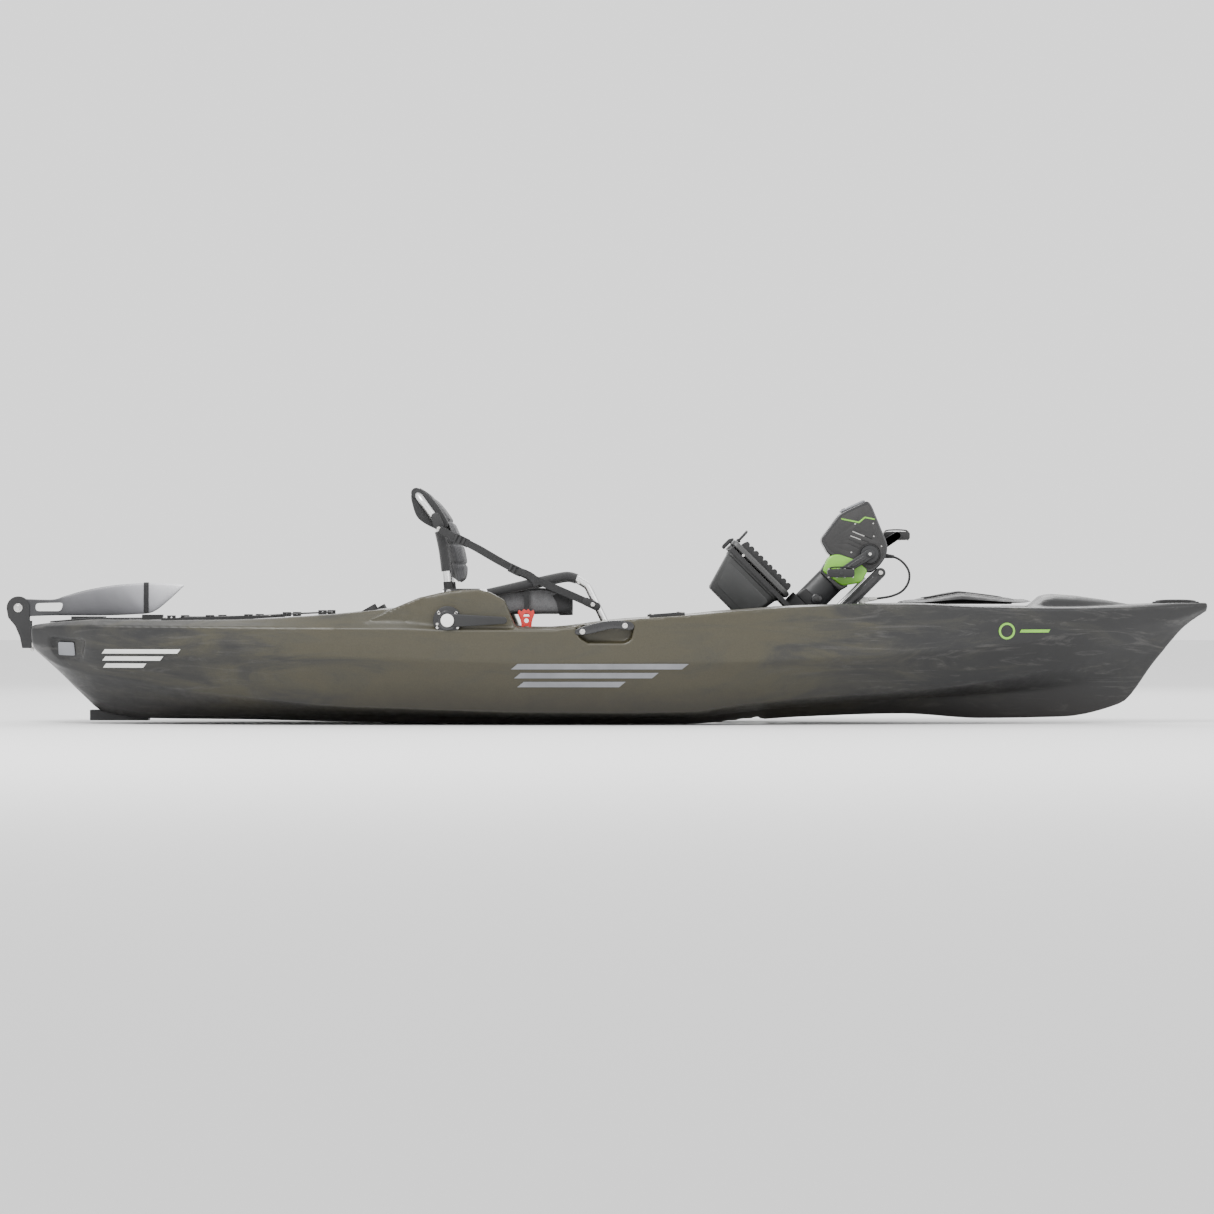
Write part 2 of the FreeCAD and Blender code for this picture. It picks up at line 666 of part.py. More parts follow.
TRACK_HEIGHT = 12.0
SHOE_BOTTOM = FLOOR_Z + TRACK_HEIGHT + FACE_GAP
KNOB_PIVOT = V(-60, 0, 120)
KNOB_STEM_R = 4.0
SHOE_HALF_WIDTH = 14.0
SEAT_SIDE = [(-556, 446), (-391, 446), (-226, 484), (-125, 506), (-66, 470), (-8, 350), (10, 118)]
STRAP_THICKNESS = 3.0
TAB_X = -272.0


def seat_tracks():
    y = SEAT_HALF_WIDTH
    return both_sides(box(-590, 130, y - 17, y + 17, FLOOR_Z, FLOOR_Z + TRACK_HEIGHT))


def seat_base_frame():
    y = SEAT_HALF_WIDTH
    side = tube([V(x, y, z) for x, z in SEAT_SIDE], SEAT_TUBE_R, 30)
    leg = tube([V(-400, y, 446), V(-480, y, 118)], SEAT_TUBE_R, 30)
    shoe = box(-520, -440, y - SHOE_HALF_WIDTH, y + SHOE_HALF_WIDTH, SHOE_BOTTOM, 130)
    front_shoe = box(-90, 40, y - SHOE_HALF_WIDTH, y + SHOE_HALF_WIDTH, SHOE_BOTTOM, 130)
    sides = []
    for piece in (side, leg, shoe, front_shoe):
        sides.extend(both_sides(piece))
    bars = [cross_cylinder(x, z, SEAT_TUBE_R - 2, -y, y) for x, z in ((-436, 300), (-12, 340))]
    frame = joined(sides + bars)
    frame = frame.cut(cross_cylinder(SEAT_PIVOT.x, SEAT_PIVOT.z, PIVOT_BOLT_R, -300, 300))
    return frame.cut(cross_cylinder(KNOB_PIVOT.x, KNOB_PIVOT.z, KNOB_STEM_R + RUNNING_GAP, -300, 300))


def track_lock_knobs():
    y = SEAT_HALF_WIDTH + SHOE_HALF_WIDTH
    knob = cross_cylinder(KNOB_PIVOT.x, KNOB_PIVOT.z, 13, y + FACE_GAP, y + 18)
    return both_sides(knob.fuse(cross_cylinder(KNOB_PIVOT.x, KNOB_PIVOT.z, KNOB_STEM_R, y - 24, y + 10)))


def seat_sling():
    inner = SEAT_HALF_WIDTH - SEAT_TUBE_R - FACE_GAP
    trough = side_prism([(-440, 372), (-120, 372), (-120, 436), (-226, 462), (-440, 430)], -inner, inner)
    return trough.cut(side_prism([(-450, 377), (-110, 377), (-110, 500), (-450, 500)], -inner + 4, inner - 4))


def seat_cushion():
    inner = SEAT_HALF_WIDTH - SEAT_TUBE_R - 8
    return soft_box(-436, -124, -inner, inner, 377 + FACE_GAP, 434, 14)


def seat_back_frame():
    y = SEAT_BACK_HALF_WIDTH
    points = [V(-535, y, 430), V(-549, y, 559), V(-570, y, 680), V(-647, y, 785),
              V(-647, -y, 785), V(-570, -y, 680), V(-549, -y, 559), V(-535, -y, 430)]
    frame = tube(points, SEAT_TUBE_R, 45)
    return frame.cut(cross_cylinder(SEAT_PIVOT.x, SEAT_PIVOT.z, PIVOT_BOLT_R + RUNNING_GAP, -300, 300))


def seat_back_cushion():
    inner = SEAT_BACK_HALF_WIDTH - SEAT_TUBE_R - FACE_GAP
    outline = [(-632, 762), (-578, 680), (-558, 600), (-546, 480), (-470, 470), (-470, 604), (-492, 660),
               (-545, 735), (-600, 792)]
    pad = side_prism(outline, -inner, inner)
    return pad.makeFillet(10, [e for e in pad.Edges if e.BoundBox.YLength < 1e-6])


def seat_straps():
    y = SEAT_HALF_WIDTH + SEAT_TUBE_R + 1
    top = [(-566, 662), (-508, 630), (-449, 602), (-364, 553), (-262, 500), (-130, 442), (-45, 404)]
    upper = [(x, z + 12) for x, z in top]
    lower = [(x, z - 12) for x, z in reversed(top)]
    strap = side_prism(upper + lower, y, y + STRAP_THICKNESS)
    end = cross_cylinder(-561, 662, 6, SEAT_BACK_HALF_WIDTH + SEAT_TUBE_R + FACE_GAP, y + STRAP_THICKNESS)
    return both_sides(strap.fuse(end))


def seat_pivot_bolts():
    start = SEAT_BACK_HALF_WIDTH - SEAT_TUBE_R - 4.5
    end = SEAT_HALF_WIDTH + SEAT_TUBE_R + 1 + STRAP_THICKNESS - 0.5
    bolt = cross_cylinder(SEAT_PIVOT.x, SEAT_PIVOT.z, PIVOT_BOLT_R, start, end)
    head = cross_cylinder(SEAT_PIVOT.x, SEAT_PIVOT.z, 9, end, end + 5)
    return both_sides(bolt.fuse(head))


def release_tab():
    """A pull tab that hangs by its webbing from the starboard seat rail."""
    y = -SEAT_HALF_WIDTH
    aft = TAB_X - 10
    low, high = SEAT_SIDE[1], SEAT_SIDE[2]
    slope = (high[1] - low[1]) / (high[0] - low[0])
    rail_bottom = low[1] + slope * (aft - low[0]) - SEAT_TUBE_R * math.hypot(1, slope)
    tab = box(TAB_X - 26, TAB_X + 25, y - 6, y + 6, 312, 388)
    tab = tab.cut(box(TAB_X - 14, TAB_X + 13, y - 9, y + 9, 322, 346))
    return tab.fuse(box(aft, TAB_X + 10, y - 1.5, y + 1.5, 388, rail_bottom - FACE_GAP)).removeSplitter()


# Pedal drive, drawn in its working pose

HEAD_OUTLINE = [(523, 692), (545, 691), (640, 651), (678, 636), (704, 606), (712, 564), (709, 522),
                (673, 510), (621, 500), (563, 466), (505, 483), (488, 594)]
COLLAR_OUTLINE = [(568, 462), (586, 414), (669, 425), (706, 478), (692, 522), (623, 496)]
SHAFT_R = 6.0
PROP_SHAFT_R = 6.0
TUB_DEPTH_Z = 100.0
TUB_WALL = 4.0
TUB_AFT_X = 309.0
TUB_FORWARD_X = 548.0
TUB_HALF_WIDTH = 116.0
FLANGE_THICKNESS = 5.0
LID_AFT_X = TUB_AFT_X - 13
LID_FORWARD_X = TUB_FORWARD_X + 14
LID_LOW_Z = TRAY_Z + TRAY_THICKNESS + FLANGE_THICKNESS + FACE_GAP
LID_TOP_Z = LID_LOW_Z + 20.7
BAR_HALF_SPACING = 46.0
HANDLE_X = 731.0
HANDLE_PIVOT_Z = 270.0
HANDLE_TOP_Z = 549.0
HANDLE_STUB_R = 5.0
BRACKET_INNER_Y = 100.0
BRACKET_OUTER_Y = 112.0
LUG_INNER_Y = 84.0
LUG_OUTER_Y = 98.0


def dock_brackets():
    x, z = DOCK_PIVOT.x, DOCK_PIVOT.z
    ear = side_prism([(x - 28, SHELF_Z), (x + 36, SHELF_Z), (x + 18, z), (x - 18, z)],
                     BRACKET_INNER_Y, BRACKET_OUTER_Y)
    ear = ear.fuse(cross_cylinder(x, z, 18, BRACKET_INNER_Y, BRACKET_OUTER_Y))
    foot = box(x - 40, x + 50, 86, 134, SHELF_Z, SHELF_Z + 6)
    ear = ear.fuse(foot).cut(cross_cylinder(x, z, DOCK_PIN_R, 50, 150)).removeSplitter()
    return both_sides(ear)


def dock_hinge_pin():
    end = BRACKET_OUTER_Y + 5
    pin = cross_cylinder(DOCK_PIVOT.x, DOCK_PIVOT.z, DOCK_PIN_R, -end, end)
    cap = cross_cylinder(DOCK_PIVOT.x, DOCK_PIVOT.z, 13, BRACKET_OUTER_Y, end)
    return joined([pin] + both_sides(cap))


def tub_solid(inset):
    """The tapered tub of the console, between its flange and its floor."""
    rings = []
    for low, aft, forward, half in ((TUB_DEPTH_Z + inset, TUB_AFT_X + 45, TUB_FORWARD_X - 30, 95),
                                    (TRAY_Z + TRAY_THICKNESS, TUB_AFT_X, TUB_FORWARD_X, TUB_HALF_WIDTH)):
        x0, x1, y = aft + inset, forward - inset, half - inset
        corners = [V(x0, -y, low), V(x1, -y, low), V(x1, y, low), V(x0, y, low)]
        rings.append(Part.makePolygon(corners + corners[:1]))
    return Part.makeLoft(rings, True, True)


def dock_tray():
    plate = round_box(300, 750, -TRAY_HALF_WIDTH, TRAY_HALF_WIDTH, TRAY_Z, TRAY_Z + TRAY_THICKNESS, 14)
    plate = plate.cut(box(TUB_AFT_X, TUB_FORWARD_X, -TUB_HALF_WIDTH, TUB_HALF_WIDTH, 200, 300))
    ring_x = LEG_CHORD / 2 + 12
    ring_y = LEG_THICKNESS / 2 + 20
    ring = round_box(LEG_X - ring_x, LEG_X + ring_x, -ring_y, ring_y, TRAY_Z + TRAY_THICKNESS, 292, 20)
    x, z = DOCK_PIVOT.x, DOCK_PIVOT.z
    lug = side_prism([(700, TRAY_Z), (748, TRAY_Z), (x + 4, z - 17), (x + 4, z + 17), (x - 6, z + 17),
                      (720, TRAY_Z + 30), (700, TRAY_Z + 20)], LUG_INNER_Y, LUG_OUTER_Y)
    lug = lug.fuse(cross_cylinder(x, z, 18, LUG_INNER_Y, LUG_OUTER_Y))
    ear = capsule((HANDLE_X, TRAY_Z + 10), (HANDLE_X, HANDLE_PIVOT_Z), 13, 52 + FACE_GAP, 62)
    ear = ear.cut(box(600, 800, 40, 70, 200, TRAY_Z + 4))
    stub = cross_cylinder(HANDLE_X, HANDLE_PIVOT_Z, HANDLE_STUB_R, 41, 56)
    tray = joined([plate, ring] + both_sides(lug) + both_sides(ear) + both_sides(stub))
    return tray.cut(cross_cylinder(x, z, DOCK_PIN_R + RUNNING_GAP, -150, 150)).cut(leg_blank())


def leg_blank():
    """The streamlined leg, as an ellipse carried down from the head."""
    ellipse = Part.Ellipse(V(LEG_X, 0, PROP_Z + 20), LEG_CHORD / 2, LEG_THICKNESS / 2).toShape()
    return Part.Face(Part.Wire([ellipse])).extrude(V(0, 0, 455 - PROP_Z - 20))


def drive_leg():
    pod = cylinder(V(LEG_X - 64, 0, PROP_Z), FORWARD, 32, 96)
    nose = Part.makeSphere(32, V(LEG_X + 32, 0, PROP_Z))
    leg = leg_blank().fuse(pod).fuse(nose)
    leg = leg.cut(cylinder(V(LEG_X, 0, PROP_Z), UP, SHAFT_R + FACE_GAP, 700))
    leg = leg.cut(cylinder(V(LEG_X - 50, 0, PROP_Z), FORWARD, 22, 78))
    bearing = cylinder(V(LEG_X - 70, 0, PROP_Z), FORWARD, PROP_SHAFT_R + RUNNING_GAP, 30)
    return leg.cut(bearing).removeSplitter()


def drive_shaft():
    shaft = cylinder(V(LEG_X, 0, PROP_Z + 14), UP, SHAFT_R, 505 - PROP_Z - 14)
    low = Part.makeCone(12, 9, 6, V(LEG_X, 0, PROP_Z + 12), UP)
    high = Part.makeCone(12, 16, 10, V(LEG_X, 0, 497), UP)
    return joined([shaft, low, high])


def drive_collar():
    collar = side_prism(COLLAR_OUTLINE, -HEAD_HALF_WIDTH - 4, HEAD_HALF_WIDTH + 4)
    collar = collar.cut(leg_blank()).cut(cylinder(V(LEG_X, 0, 400), UP, SHAFT_R + 3, 120))
    return collar.cut(side_prism([(560, 467), (700, 467), (700, 560), (560, 560)],
                                 -HEAD_HALF_WIDTH + 2, HEAD_HALF_WIDTH - 2))


def head_blank(y0, y1, inset=0.0):
    return side_prism(HEAD_OUTLINE, y0, y1, inset)


def drive_cover(side):
    y0, y1 = sorted((side * 0.1, side * HEAD_HALF_WIDTH))
    inner = sorted((-side * 1, side * (HEAD_HALF_WIDTH - COVER_WALL)))
    shell = head_blank(y0, y1)
    flat = [e for e in shell.Edges if e.BoundBox.YLength < 1e-6]
    rim = [e for e in flat if abs(abs(e.BoundBox.YMin) - HEAD_HALF_WIDTH) < 1]
    shell = shell.makeFillet(8, rim)
    shell = shell.cut(head_blank(inner[0], inner[1], COVER_WALL))
    shell = shell.cut(side_prism(COLLAR_OUTLINE, -80, 80))
    shell = shell.cut(cross_cylinder(HUB_X, HUB_Z, SPINDLE_R + 0.5, -100, 100))
    shell = shell.cut(cylinder(V(LEG_X, 0, 380), UP, 18, 140))
    return max(shell.Solids, key=lambda s: s.Volume)


def display_panel():
    foot = V(489, 0, 598)
    along = V(35, 0, 98).normalize()
    out = V(-along.z, 0, along.x)
    a = foot + along * 4
    b = foot + along * 88
    corners = [(p.x, p.z) for p in (a, a + out * 5, b + out * 5, b)]
    panel = side_prism(corners, -44, 44)
    return panel.cut(head_blank(-100, 100))


def drive_motor():
    reach = HEAD_HALF_WIDTH - COVER_WALL - FACE_GAP
    return cross_cylinder(570, 590, 34, -reach, reach)


def crank_direction():
    angle = math.radians(CRANK_ANGLE)
    return V(math.cos(angle), 0, math.sin(angle))


def crank_set():
    tip = V(HUB_X, 0, HUB_Z) + crank_direction() * CRANK_RADIUS
    far = V(HUB_X, 0, HUB_Z) - crank_direction() * CRANK_RADIUS
    pieces = [cross_cylinder(HUB_X, HUB_Z, SPINDLE_R, -86, 86)]
    pieces.append(cross_cylinder(HUB_X, HUB_Z, 30, HEAD_HALF_WIDTH + 3, 76))
    pieces.append(cross_cylinder(HUB_X, HUB_Z, 30, -76, -HEAD_HALF_WIDTH - 3))
    pieces.append(capsule((HUB_X, HUB_Z), (tip.x, tip.z), 14, -84, -72))
    pieces.append(capsule((HUB_X, HUB_Z), (far.x, far.z), 14, 72, 84))
    pieces.append(cross_cylinder(tip.x, tip.z, PEDAL_AXLE_R, -188, -80))
    pieces.append(cross_cylinder(far.x, far.z, PEDAL_AXLE_R, 80, 188))
    return joined(pieces)


def crank_gear():
    """Bevel wheel on the crank spindle, inside the head."""
    gear = Part.makeCone(46, 34, 10, V(HUB_X, 20, HUB_Z), PORT)
    return gear.cut(cross_cylinder(HUB_X, HUB_Z, SPINDLE_R, -100, 100))


def pedal(side):
    """A flat pedal, level while the drive is parked."""
    place = V(HUB_X, 0, HUB_Z) + crank_direction() * (CRANK_RADIUS if side < 0 else -CRANK_RADIUS)
    centre = parked(Part.Vertex(place)).Point
    y0, y1 = sorted((side * 92, side * 186))
    body = box(centre.x - 45, centre.x + 45, y0, y1, centre.z - 14, centre.z + 14)
    edges = [e for e in body.Edges if e.BoundBox.YLength > 50]
    body = body.makeFillet(8, edges)
    for x in (centre.x - 27, centre.x + 27):
        body = body.cut(box(x - 10, x + 10, y0 + 14, y1 - 14, centre.z - 30, centre.z + 30))
    return body.cut(cross_cylinder(centre.x, centre.z, PEDAL_AXLE_R + RUNNING_GAP, -300, 300))


def propeller():
    hub = cylinder(V(LEG_X - 108, 0, PROP_Z), FORWARD, 20, 44 - FACE_GAP)
    shaft = cylinder(V(LEG_X - 66, 0, PROP_Z), FORWARD, PROP_SHAFT_R, 34)
    gear = Part.makeCone(14, 11, 5, V(LEG_X - 33, 0, PROP_Z), FORWARD)
    pieces = [hub, shaft, gear]
    for turn in (0, 180):
        blade = round_box(-24, 24, -2.5, 2.5, 8, PROP_R, 2)
        blade.rotate(CENTRE, UP, 58)
        blade.rotate(CENTRE, FORWARD, turn)
        blade.translate(V(LEG_X - 86, 0, PROP_Z))
        pieces.append(blade)
    return joined(pieces)


def lift_handle():
    """A bail of two arms and a grip, hinged on the tray ahead of the leg."""
    pieces = []
    for y0, y1 in ((40, 52), (-52, -40)):
        pieces.append(capsule((HANDLE_X, HANDLE_PIVOT_Z), (HANDLE_X, HANDLE_TOP_Z), 17, y0, y1))
    pieces.append(cross_cylinder(HANDLE_X, HANDLE_TOP_Z, 9, -45, 45))
    bail = joined(pieces)
    return bail.cut(cross_cylinder(HANDLE_X, HANDLE_PIVOT_Z, HANDLE_STUB_R + RUNNING_GAP, -70, 70))


CABLE_ROUTE = [V(957, CABLE_Y, 573), V(985, CABLE_Y, 571), V(1015, CABLE_Y, 552), V(1037, CABLE_Y, 520),
               V(1035, CABLE_Y, 482), V(1012, CABLE_Y, 450), V(974, CABLE_Y, 434), V(934, CABLE_Y, 428),
               V(895, CABLE_Y, 424)]


def power_cable():
    path = rounded_path(CABLE_ROUTE, 0, True)
    print("cable length", round(path.Length), "arc radii",
          [round(e.Curve.Radius) for e in path.Edges if isinstance(e.Curve, Part.Circle)])
    cable = tube(CABLE_ROUTE, CABLE_R, 0, True)
    print("cable volume ratio", round(cable.Volume / (math.pi * CABLE_R ** 2 * path.Length), 4))
    return cable


def power_socket():
    """A conduit post from the shelf with the plug block on top."""
    end = CABLE_ROUTE[-1]
    post = cylinder(V(end.x - 22, CABLE_Y, SHELF_Z), UP, 12, end.z - 6 - SHELF_Z)
    foot = cylinder(V(end.x - 22, CABLE_Y, SHELF_Z), UP, 24, 6)
    plug = soft_box(end.x - 36, end.x, CABLE_Y - 9, CABLE_Y + 9, end.z - 10, end.z + 8, 3)
    return joined([post, foot, plug])


def cable_gland():
    start = CABLE_ROUTE[0]
    return cylinder(V(start.x - 22, CABLE_Y, start.z), FORWARD, 8, 22 - FACE_GAP)


# Console

def console_tub():
    top = TRAY_Z + TRAY_THICKNESS
    flange = round_box(TUB_AFT_X - 9, TUB_FORWARD_X + 10, -TUB_HALF_WIDTH - 10, TUB_HALF_WIDTH + 10,
                       top, top + FLANGE_THICKNESS, 14)
    tub = tub_solid(0).fuse(flange)
    inside = box(TUB_AFT_X + TUB_WALL, TUB_FORWARD_X - TUB_WALL, -TUB_HALF_WIDTH + TUB_WALL,
                 TUB_HALF_WIDTH - TUB_WALL, top - 2, 300)
    return tub.cut(tub_solid(TUB_WALL)).cut(inside).removeSplitter()


def console_lid():
    half = TUB_HALF_WIDTH + 12
    lid = round_box(LID_AFT_X, LID_FORWARD_X, -half, half, LID_LOW_Z, LID_TOP_Z, 16)
    rim = 18
    return lid.cut(round_box(LID_AFT_X + rim, LID_FORWARD_X - rim, rim - half, half - rim, 200,
                             LID_TOP_Z - 5, 10))


def lid_pad():
    return soft_box(328, 548, -100, 100, LID_TOP_Z, LID_TOP_Z + 25, 7)


def console_latch():
    hook = box(LID_AFT_X - 14, LID_AFT_X - FACE_GAP, -28, 28, TRAY_Z - 8, LID_TOP_Z - 2)
    return hook.makeFillet(5, [e for e in hook.Edges if e.BoundBox.YLength > 50])


def console_bail():
    x = LID_AFT_X + 14
    half = BAR_HALF_SPACING
    top = LID_TOP_Z + 46
    points = [V(x, -half, LID_TOP_Z), V(x, -half, top), V(x, half, top), V(x, half, LID_TOP_Z)]
    return tube(points, 5, 22)


def battery():
    floor = TUB_DEPTH_Z + TUB_WALL
    return box(TUB_AFT_X + 56, TUB_FORWARD_X - 46, -80, 80, floor, floor + 80)


steering_fixings = steering_screws()
rail_fixings = rail_screws()
handle_fixings = handle_screws()
bracket_fixings = bracket_screws()
save("deck_screws", rail_fixings + steering_fixings + handle_fixings + bracket_fixings)
save("keel_skid_plate", seated(box(STERN_X + 185, STERN_X + 385, -34, 34, 10, 46)))
save("gunwale_rails", gunwale_rails(rail_fixings))
save("steering_bases", both_sides(steering_base(steering_fixings).fuse(steering_spindle_boss())))
save("steering_lever_left", steering_lever().cut(steering_spindle_boss()))
save("steering_lever_right", mirrored(steering_lever().cut(steering_spindle_boss())))
save("steering_cap_left", steering_cap())
save("steering_cap_right", mirrored(steering_cap()))
save("side_handles", both_sides(side_handle(handle_fixings)))
save("rod_holders", both_sides(rod_holder()))
save("deck_pads", deck_pads())
save("bow_handle", bow_handle())
save("stern_rest", stern_rest())
save("bungee_pad_eyes", bungee_pad_eyes())
save("bungee_cord", bungee_cord())
save("front_hatch_seal", front_hatch_seal())
save("front_hatch_lid", front_hatch_lid())
save("hatch_straps", hatch_straps())
save("stern_bracket", stern_bracket(bracket_fixings))
save("rudder_hinge_pin", rudder_hinge_pin())
save("rudder_head", rudder_head())
save("rudder_pivot_bolt", rudder_pivot_bolt())
save("rudder_blade", rudder_blade())
save("rudder_lines", rudder_lines())
save("seat_tracks", seat_tracks())
save("seat_base_frame", seat_base_frame())
save("track_lock_knobs", track_lock_knobs())
save("seat_sling", seat_sling())
save("seat_cushion", seat_cushion())
save("seat_back_frame", seat_back_frame())
save("seat_back_cushion", seat_back_cushion())
save("seat_straps", seat_straps())
save("seat_pivot_bolts", seat_pivot_bolts())
save("release_tab", release_tab())
save("dock_brackets", dock_brackets())
save("dock_hinge_pin", dock_hinge_pin())
save("power_cable", power_cable())
save("power_socket", power_socket())
save("pedal_right", pedal(-1))
save("pedal_left", pedal(1))
DRIVE_PIECES = [
    ("dock_tray", dock_tray()),
    ("display_panel", display_panel()),
    ("drive_motor", drive_motor()),
    ("crank_gear", crank_gear()),
    ("crank_set", crank_set()),
    ("drive_shaft", drive_shaft()),
    ("drive_collar", drive_collar()),
    ("drive_leg", drive_leg()),
    ("propeller", propeller()),
    ("lift_handle", lift_handle()),
    ("console_tub", console_tub()),
    ("console_lid", console_lid()),
    ("lid_pad", lid_pad()),
    ("console_latch", console_latch()),
    ("console_bail", console_bail()),
    ("battery", battery()),
]
for name, piece in DRIVE_PIECES:
    save(name, parked(piece))
gland = cable_gland()
save("cable_gland", gland)
for name, side in (("drive_cover_right", -1), ("drive_cover_left", 1)):
    save(name, parked(drive_cover(side)).cut(gland))
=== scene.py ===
"""Looks of the fishing kayak around its CAD frame: hull, deck, seat, drive, console and rudder."""
import math

import bpy
import bmesh
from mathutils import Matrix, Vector


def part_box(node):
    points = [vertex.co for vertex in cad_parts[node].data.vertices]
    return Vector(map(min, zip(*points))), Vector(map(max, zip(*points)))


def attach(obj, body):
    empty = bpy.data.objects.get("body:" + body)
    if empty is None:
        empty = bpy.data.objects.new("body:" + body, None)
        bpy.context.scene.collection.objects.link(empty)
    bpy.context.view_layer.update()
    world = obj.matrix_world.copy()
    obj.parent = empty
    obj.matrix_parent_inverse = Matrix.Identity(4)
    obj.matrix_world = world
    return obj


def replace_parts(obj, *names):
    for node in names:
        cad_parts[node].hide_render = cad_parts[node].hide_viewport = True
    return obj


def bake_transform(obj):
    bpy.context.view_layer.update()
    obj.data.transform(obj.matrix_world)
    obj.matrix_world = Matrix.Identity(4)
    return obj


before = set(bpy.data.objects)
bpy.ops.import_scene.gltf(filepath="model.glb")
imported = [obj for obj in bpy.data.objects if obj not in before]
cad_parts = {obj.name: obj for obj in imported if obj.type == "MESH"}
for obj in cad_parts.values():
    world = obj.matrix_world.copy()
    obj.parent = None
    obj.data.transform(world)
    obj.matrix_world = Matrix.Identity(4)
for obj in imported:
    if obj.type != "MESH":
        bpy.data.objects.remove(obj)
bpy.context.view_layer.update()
MM = 0.001
collection = bpy.context.scene.collection


# ---------------------------------------------------------------- materials

def principled(name, color, roughness, metallic=0.0):
    """A node material with its Principled shader ready; returns the material, its tree and the shader."""
    material = bpy.data.materials.new(name)
    material.use_nodes = True
    material.diffuse_color = (*color, 1)
    tree = material.node_tree
    shader = tree.nodes["Principled BSDF"]
    shader.inputs["Base Color"].default_value = (*color, 1)
    shader.inputs["Roughness"].default_value = roughness
    shader.inputs["Metallic"].default_value = metallic
    return material, tree, shader


def link(tree, source, target):
    tree.links.new(source, target)


def place_of(tree, scale=(1, 1, 1)):
    """Object coordinates, stretched by scale."""
    coords = tree.nodes.new("ShaderNodeTexCoord")
    mapping = tree.nodes.new("ShaderNodeMapping")
    mapping.inputs["Scale"].default_value = scale
    link(tree, coords.outputs["Object"], mapping.inputs["Vector"])
    return mapping.outputs["Vector"]


def noise_of(tree, place, scale, detail=4.0, roughness=0.55, distortion=0.0):
    node = tree.nodes.new("ShaderNodeTexNoise")
    node.inputs["Scale"].default_value = scale
    node.inputs["Detail"].default_value = detail
    node.inputs["Roughness"].default_value = roughness
    node.inputs["Distortion"].default_value = distortion
    link(tree, place, node.inputs["Vector"])
    return node.outputs["Fac"]


def ramp_of(tree, value, stops):
    node = tree.nodes.new("ShaderNodeValToRGB")
    ramp = node.color_ramp
    while len(ramp.elements) < len(stops):
        ramp.elements.new(0.5)
    for element, (position, color) in zip(ramp.elements, stops):
        element.position = position
        element.color = (*color, 1)
    link(tree, value, node.inputs["Fac"])
    return node.outputs["Color"]


def spread_of(tree, value, low, high, start=0.3, end=0.7):
    node = tree.nodes.new("ShaderNodeMapRange")
    node.inputs["From Min"].default_value = start
    node.inputs["From Max"].default_value = end
    node.inputs["To Min"].default_value = low
    node.inputs["To Max"].default_value = high
    link(tree, value, node.inputs["Value"])
    return node.outputs["Result"]


def bump_of(tree, height, strength, distance, before=None):
    node = tree.nodes.new("ShaderNodeBump")
    node.inputs["Strength"].default_value = strength
    node.inputs["Distance"].default_value = distance
    link(tree, height, node.inputs["Height"])
    if before is not None:
        link(tree, before, node.inputs["Normal"])
    return node.outputs["Normal"]


def shade(color, factor):
    return tuple(min(1.0, channel * factor) for channel in color)


def plastic(name, color, roughness, grain=900.0, bump=0.25, mottle=0.18, gloss=0.0):
    """Moulded plastic or rubber: fine pebble, slow colour drift and handling marks in the roughness."""
    material, tree, shader = principled(name, color, roughness)
    place = place_of(tree)
    drift = noise_of(tree, place, 9.0)
    link(tree, ramp_of(tree, drift, [(0.25, shade(color, 1 - mottle)), (0.75, shade(color, 1 + mottle))]),
         shader.inputs["Base Color"])
    wear = noise_of(tree, place, 45.0, 6.0, 0.65)
    link(tree, spread_of(tree, wear, roughness - 0.07, roughness + 0.09), shader.inputs["Roughness"])
    pebble = noise_of(tree, place, grain, 2.0)
    link(tree, bump_of(tree, pebble, bump, 0.0006), shader.inputs["Normal"])
    shader.inputs["Coat Weight"].default_value = gloss
    shader.inputs["Coat Roughness"].default_value = 0.15
    return material


def metal(name, color, roughness, brushed=(1, 1, 1), streak=260.0, painted=False):
    """Bare or anodised metal with fine drawn lines along one direction."""
    material, tree, shader = principled(name, color, roughness, 0.0 if painted else 1.0)
    place = place_of(tree, brushed)
    lines = noise_of(tree, place, streak, 5.0, 0.7)
    link(tree, ramp_of(tree, lines, [(0.3, shade(color, 0.82)), (0.7, shade(color, 1.08))]),
         shader.inputs["Base Color"])
    link(tree, spread_of(tree, lines, roughness - 0.06, roughness + 0.1), shader.inputs["Roughness"])
    link(tree, bump_of(tree, lines, 0.12, 0.0004), shader.inputs["Normal"])
    return material


